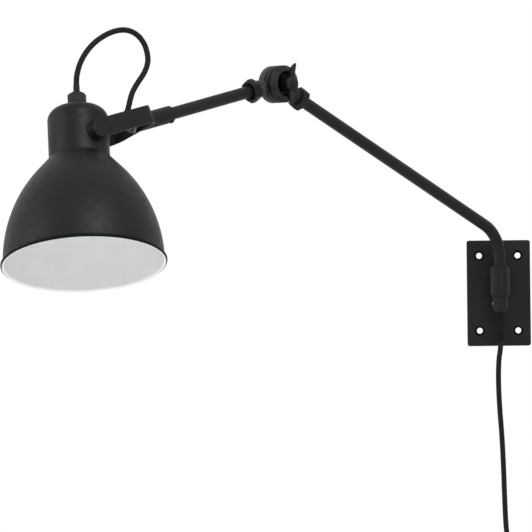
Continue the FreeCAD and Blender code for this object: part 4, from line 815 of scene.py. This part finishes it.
def makePlug(look):
    low, high = (Vector(corner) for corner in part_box("mains_plug"))
    foot = Vector(((low.x + high.x) / 2, (low.y + high.y) / 2, high.z))
    top, wide = look["body"][0]
    bpy.ops.object.select_all(action="DESELECT")
    bpy.ops.mesh.primitive_plane_add(size=1, location=(0, 0, -top * mm))
    plug = bpy.context.object
    plug.name = "mainsPlug"
    plug.scale = (wide * mm, look["thick"] * mm, 1)
    rest(plug)
    bpy.ops.object.mode_set(mode="EDIT")
    bpy.ops.mesh.select_all(action="SELECT")
    for down, wider in look["body"][1:]:
        bpy.ops.mesh.extrude_region_move(TRANSFORM_OT_translate={"value": (0, 0, (top - down) * mm)})
        bpy.ops.transform.resize(value=(wider / wide, 1, 1), center_override=(0, 0, -down * mm))
        top, wide = down, wider
    bpy.ops.mesh.select_all(action="SELECT")
    bpy.ops.mesh.normals_make_consistent(inside=False)
    bpy.ops.mesh.select_all(action="DESELECT")
    bpy.ops.mesh.select_mode(type="FACE")
    bpy.ops.object.mode_set(mode="OBJECT")
    for face in plug.data.polygons:
        level = look["panelFoot"] * mm < face.center.z < look["panelTop"] * mm
        face.select = abs(face.normal.y) > 0.9 and level
    bpy.ops.object.mode_set(mode="EDIT")
    bpy.ops.mesh.inset(thickness=look["panel"] * mm, depth=-look["panelDeep"] * mm)
    bpy.ops.object.mode_set(mode="OBJECT")
    useModifier(plug, "BEVEL", width=look["edge"] * mm, segments=4, limit_method="ANGLE",
                angle_limit=math.radians(60))
    tip, root, long = look["reliefTip"], look["reliefRoot"], look["relief"]
    rings = [(0, 0), (tip - 0.5, 0), (tip, -0.5)]
    for number in range(look["ribs"]):
        down = 2.4 + number * (long - 4.0) / look["ribs"]
        radius = tip + (root - tip) * down / long
        inner = radius - look["ribDeep"]
        rings += [(radius, -down), (inner, -down - 0.2), (inner, -down - 1.3), (radius + 0.1, -down - 1.5)]
    rings += [(root, -long), (root, -long - 3.0), (0, -long - 3.0)]
    relief = turned("relief", rings, 32)
    combine(plug, relief, "UNION")
    wear(plug, finishes["plug_plastic"])
    smooth(plug, 30)
    plug.matrix_world = Matrix.Translation(foot)
    settle(plug, "wall", "mains_plug")
    return plug


mainsPlug = makePlug(plugLook)
print("plug moulded")


# cords: one smooth line each, through the points that the solids follow

cordLook = {"diameter": 5.4 * mm, "sides": 16}
mainsRoute = [(0.0, -28.0, -48.2), (0.0, -28.0, -56.2), (-2.3, -28.0, -68.0), (-3.0, -28.0, -90.0),
              (-2.0, -28.0, -118.0), (0.2, -28.0, -148.0), (1.5, -28.0, -182.0), (2.3, -28.0, -218.0),
              (3.6, -28.0, -250.0), (9.5, -28.0, -277.0), (22.0, -28.0, -302.0)]
leadRoute = [(-2.0, 0.0, -22.0), (-3.4, 0.0, -33.0), (-3.4, 0.0, -42.0)]    # from the coil's end
coilShape = {"middle": (3.0, -28.0, -356.0), "outer": 42.0, "pitch": 6.0, "layers": 4.0, "turns": 8 + 1 / 12,
             "clock": 60.0, "perTurn": 24, "crossing": 0.5, "approach": 17.4, "runIn": 5.4, "runOut": 10.0}
loopRoute = [(-418.783, -391.580, 203.663), (-418.75, -389.55, 209.0), (-418.3, -387.7, 213.7),
             (-416.1, -383.4, 223.0), (-411.5, -377.8, 233.0), (-404.1, -370.7, 243.0),
             (-394.1, -362.7, 251.2), (-382.6, -354.4, 256.8), (-371.4, -347.6, 257.8),
             (-362.4, -344.3, 253.4), (-356.2, -344.0, 245.6), (-353.0, -346.2, 236.5),
             (-351.9, -350.7, 226.1), (-355.6, -358.3, 215.5), (-361.8, -367.6, 206.1),
             (-366.8, -376.5, 196.7), (-368.9, -383.0, 187.8), (-370.6, -387.0, 179.7),
             (-373.8, -389.3, 172.8), (-377.8, -388.5, 167.8), (-380.1, -385.0, 164.1),
             (-380.1, -379.7, 161.9), (-377.9, -374.5, 162.1), (-374.409, -371.261, 164.150),
             (-371.913, -368.935, 164.932)]


def coilPoint(shape, along):
    # in along one layer, over to the next, and out again
    layers = shape["layers"]
    over = min(max((along - layers + shape["crossing"] / 2) / shape["crossing"], 0.0), 1.0)
    radius = shape["outer"] - shape["pitch"] * min(along, layers) + shape["pitch"] * max(along - layers, 0.0)
    swell = 1.0 / math.cos(math.pi / shape["perTurn"])    # the line runs inside its points
    clock = math.radians(shape["clock"]) + math.tau * along
    back = shape["pitch"] * (over - math.sin(math.tau * over) / math.tau)
    return Vector(shape["middle"]) + Vector((radius * swell * math.sin(clock), -back,
                                             radius * swell * math.cos(clock)))


def mainsPoints():
    last = coilShape["turns"]
    step = 1e-4
    start, end = coilPoint(coilShape, 0.0), coilPoint(coilShape, last)
    startWay = (coilPoint(coilShape, step) - start).normalized()
    endWay = (end - coilPoint(coilShape, last - step)).normalized()
    points = [Vector(point) for point in mainsRoute]
    points += [start - startWay * coilShape["approach"], start - startWay * coilShape["runIn"]]
    count = round(last * coilShape["perTurn"])
    points += [coilPoint(coilShape, last * number / count) for number in range(count + 1)]
    leadStart = end + endWay * coilShape["runIn"]
    points += [leadStart, leadStart + endWay * coilShape["runOut"]]
    points += [leadStart + Vector(point) for point in leadRoute]
    return points


def smoothLine(name, points, fineness):
    data = bpy.data.curves.new(name, "CURVE")
    data.dimensions = "3D"
    spline = data.splines.new("NURBS")
    spline.points.add(len(points) - 1)
    for spot, place in zip(spline.points, points):
        spot.co = (*(Vector(place) * mm), 1)
    spline.order_u = 3
    spline.use_endpoint_u = True
    data.resolution_u = fineness
    line = bpy.data.objects.new(name, data)
    bpy.context.scene.collection.objects.link(line)
    return line


def followed(line):
    flat = bpy.data.meshes.new_from_object(line)
    spots = [spot.co.copy() for spot in flat.vertices]
    bpy.data.objects.remove(line)
    return spots


def braidedTube(name, path, look):
    # rings of faces along the line, with the map in metres along it and once round it
    radius = look["diameter"] / 2
    sides = look["sides"]
    shell = bmesh.new()
    mapping = shell.loops.layers.uv.new("UVMap")
    ways = [(path[min(n + 1, len(path) - 1)] - path[max(n - 1, 0)]).normalized() for n in range(len(path))]
    across = ways[0].orthogonal().normalized()
    rings, reach = [], [0.0]
    for number, (place, way) in enumerate(zip(path, ways)):
        if number:
            across = ways[number - 1].rotation_difference(way) @ across
            reach.append(reach[-1] + (place - path[number - 1]).length)
        across = (across - way * across.dot(way)).normalized()
        other = way.cross(across)
        rings.append([shell.verts.new(place + (across * math.cos(math.tau * k / sides)
                                               + other * math.sin(math.tau * k / sides)) * radius)
                      for k in range(sides)])
    for number in range(len(rings) - 1):
        for k in range(sides):
            after = (k + 1) % sides
            face = shell.faces.new((rings[number][k], rings[number][after],
                                    rings[number + 1][after], rings[number + 1][k]))
            face.smooth = True
            marks = ((reach[number], k), (reach[number], k + 1),
                     (reach[number + 1], k + 1), (reach[number + 1], k))
            for corner, (far, side) in zip(face.loops, marks):
                corner[mapping].uv = (far, side / sides)
    shell.faces.new(list(reversed(rings[0])))
    shell.faces.new(rings[-1])
    mesh = bpy.data.meshes.new(name)
    shell.to_mesh(mesh)
    shell.free()
    tube = bpy.data.objects.new(name, mesh)
    bpy.context.scene.collection.objects.link(tube)
    mesh.materials.append(finishes["woven_cord"])
    return tube


mainsPath = followed(smoothLine("mainsLine", mainsPoints(), 4))
mainsCord = braidedTube("mainsCord", mainsPath, cordLook)
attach(mainsCord, "wall_bracket")
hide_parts("mains_cord", "cord_coil", "plug_lead")

loopPath = followed(smoothLine("loopLine", loopRoute, 8))
loopCord = braidedTube("loopCord", loopPath, cordLook)
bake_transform(loopCord)
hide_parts("loop_cord")
print("cords run, mains points", len(mainsPath), "loop points", len(loopPath))


# stage and light

stageLook = {"height": -0.492, "radius": 2.4, "colour": (0.86, 0.86, 0.86), "rough": 0.8,
             "fadeFrom": 0.7, "fadeTo": 0.95}


def floorFinish(look):
    # pale floor that fades to the white surroundings, and is clear from below
    finish, tree, shader, where = startFinish("paleFloor")
    shader.inputs["Base Color"].default_value = (*look["colour"], 1)
    shader.inputs["Roughness"].default_value = look["rough"]
    far = tree.nodes.new("ShaderNodeVectorMath")
    far.operation = "LENGTH"
    tree.links.new(where.outputs["Object"], far.inputs[0])
    edge = spread(tree, far.outputs["Value"], 0.0, 1.0, look["fadeFrom"], look["radius"] * look["fadeTo"])
    clear = tree.nodes.new("ShaderNodeBsdfTransparent")
    sides = tree.nodes.new("ShaderNodeNewGeometry")
    hidden = sums(tree, "MAXIMUM", edge, sides.outputs["Backfacing"])
    mixed = tree.nodes.new("ShaderNodeMixShader")
    tree.links.new(hidden, mixed.inputs[0])
    tree.links.new(shader.outputs[0], mixed.inputs[1])
    tree.links.new(clear.outputs[0], mixed.inputs[2])
    tree.links.new(mixed.outputs[0], tree.nodes["Material Output"].inputs["Surface"])
    return finish


bpy.ops.mesh.primitive_circle_add(vertices=96, radius=stageLook["radius"], fill_type="NGON",
                                  location=(-0.2, -0.2, 0))
floor = bpy.context.object
floor.name = "paleFloor"
floor.location.z = stageLook["height"]
floor.data.materials.append(floorFinish(stageLook))

# the surroundings are plain white to the eye and in reflections, and light the lamp less
surroundings = {"seen": 1.0, "light": 0.75, "mirrored": 0.95}


def lightSurroundings(look):
    world = bpy.data.worlds.new("studio")
    bpy.context.scene.world = world
    world.use_nodes = True
    tree = world.node_tree
    back = tree.nodes["Background"]
    back.inputs["Color"].default_value = (1, 1, 1, 1)
    ray = tree.nodes.new("ShaderNodeLightPath")
    seen = spread(tree, ray.outputs["Is Camera Ray"], look["light"], look["seen"])
    shiny = sums(tree, "MAXIMUM", ray.outputs["Is Glossy Ray"], ray.outputs["Is Transmission Ray"])
    mirrored = spread(tree, shiny, 0.0, look["mirrored"] - look["light"])
    tree.links.new(sums(tree, "ADD", seen, mirrored), back.inputs["Strength"])


lightSurroundings(surroundings)

softboxes = {
    "frontRight": {"place": (0.35, -1.8, 1.6), "aim": (-0.3, -0.3, 0.08), "size": 1.0, "power": 27},
    "farLeft": {"place": (-2.0, -0.9, 0.7), "aim": (-0.35, -0.35, 0.05), "size": 1.3, "power": 12},
    "lowFill": {"place": (-0.6, -2.0, -1.1), "aim": (-0.4, -0.4, 0.0), "size": 1.2, "power": 17},
}


def hangSoftbox(name, box):
    bpy.ops.object.light_add(type="AREA", location=box["place"])
    light = bpy.context.object
    light.name = name
    light.data.size = box["size"]
    light.data.energy = box["power"]
    facing = Vector(box["aim"]) - Vector(box["place"])
    light.rotation_euler = facing.to_track_quat("-Z", "Y").to_euler()


for name, box in softboxes.items():
    hangSoftbox(name, box)

bpy.context.scene.view_settings.view_transform = "Standard"
print("stage lit")
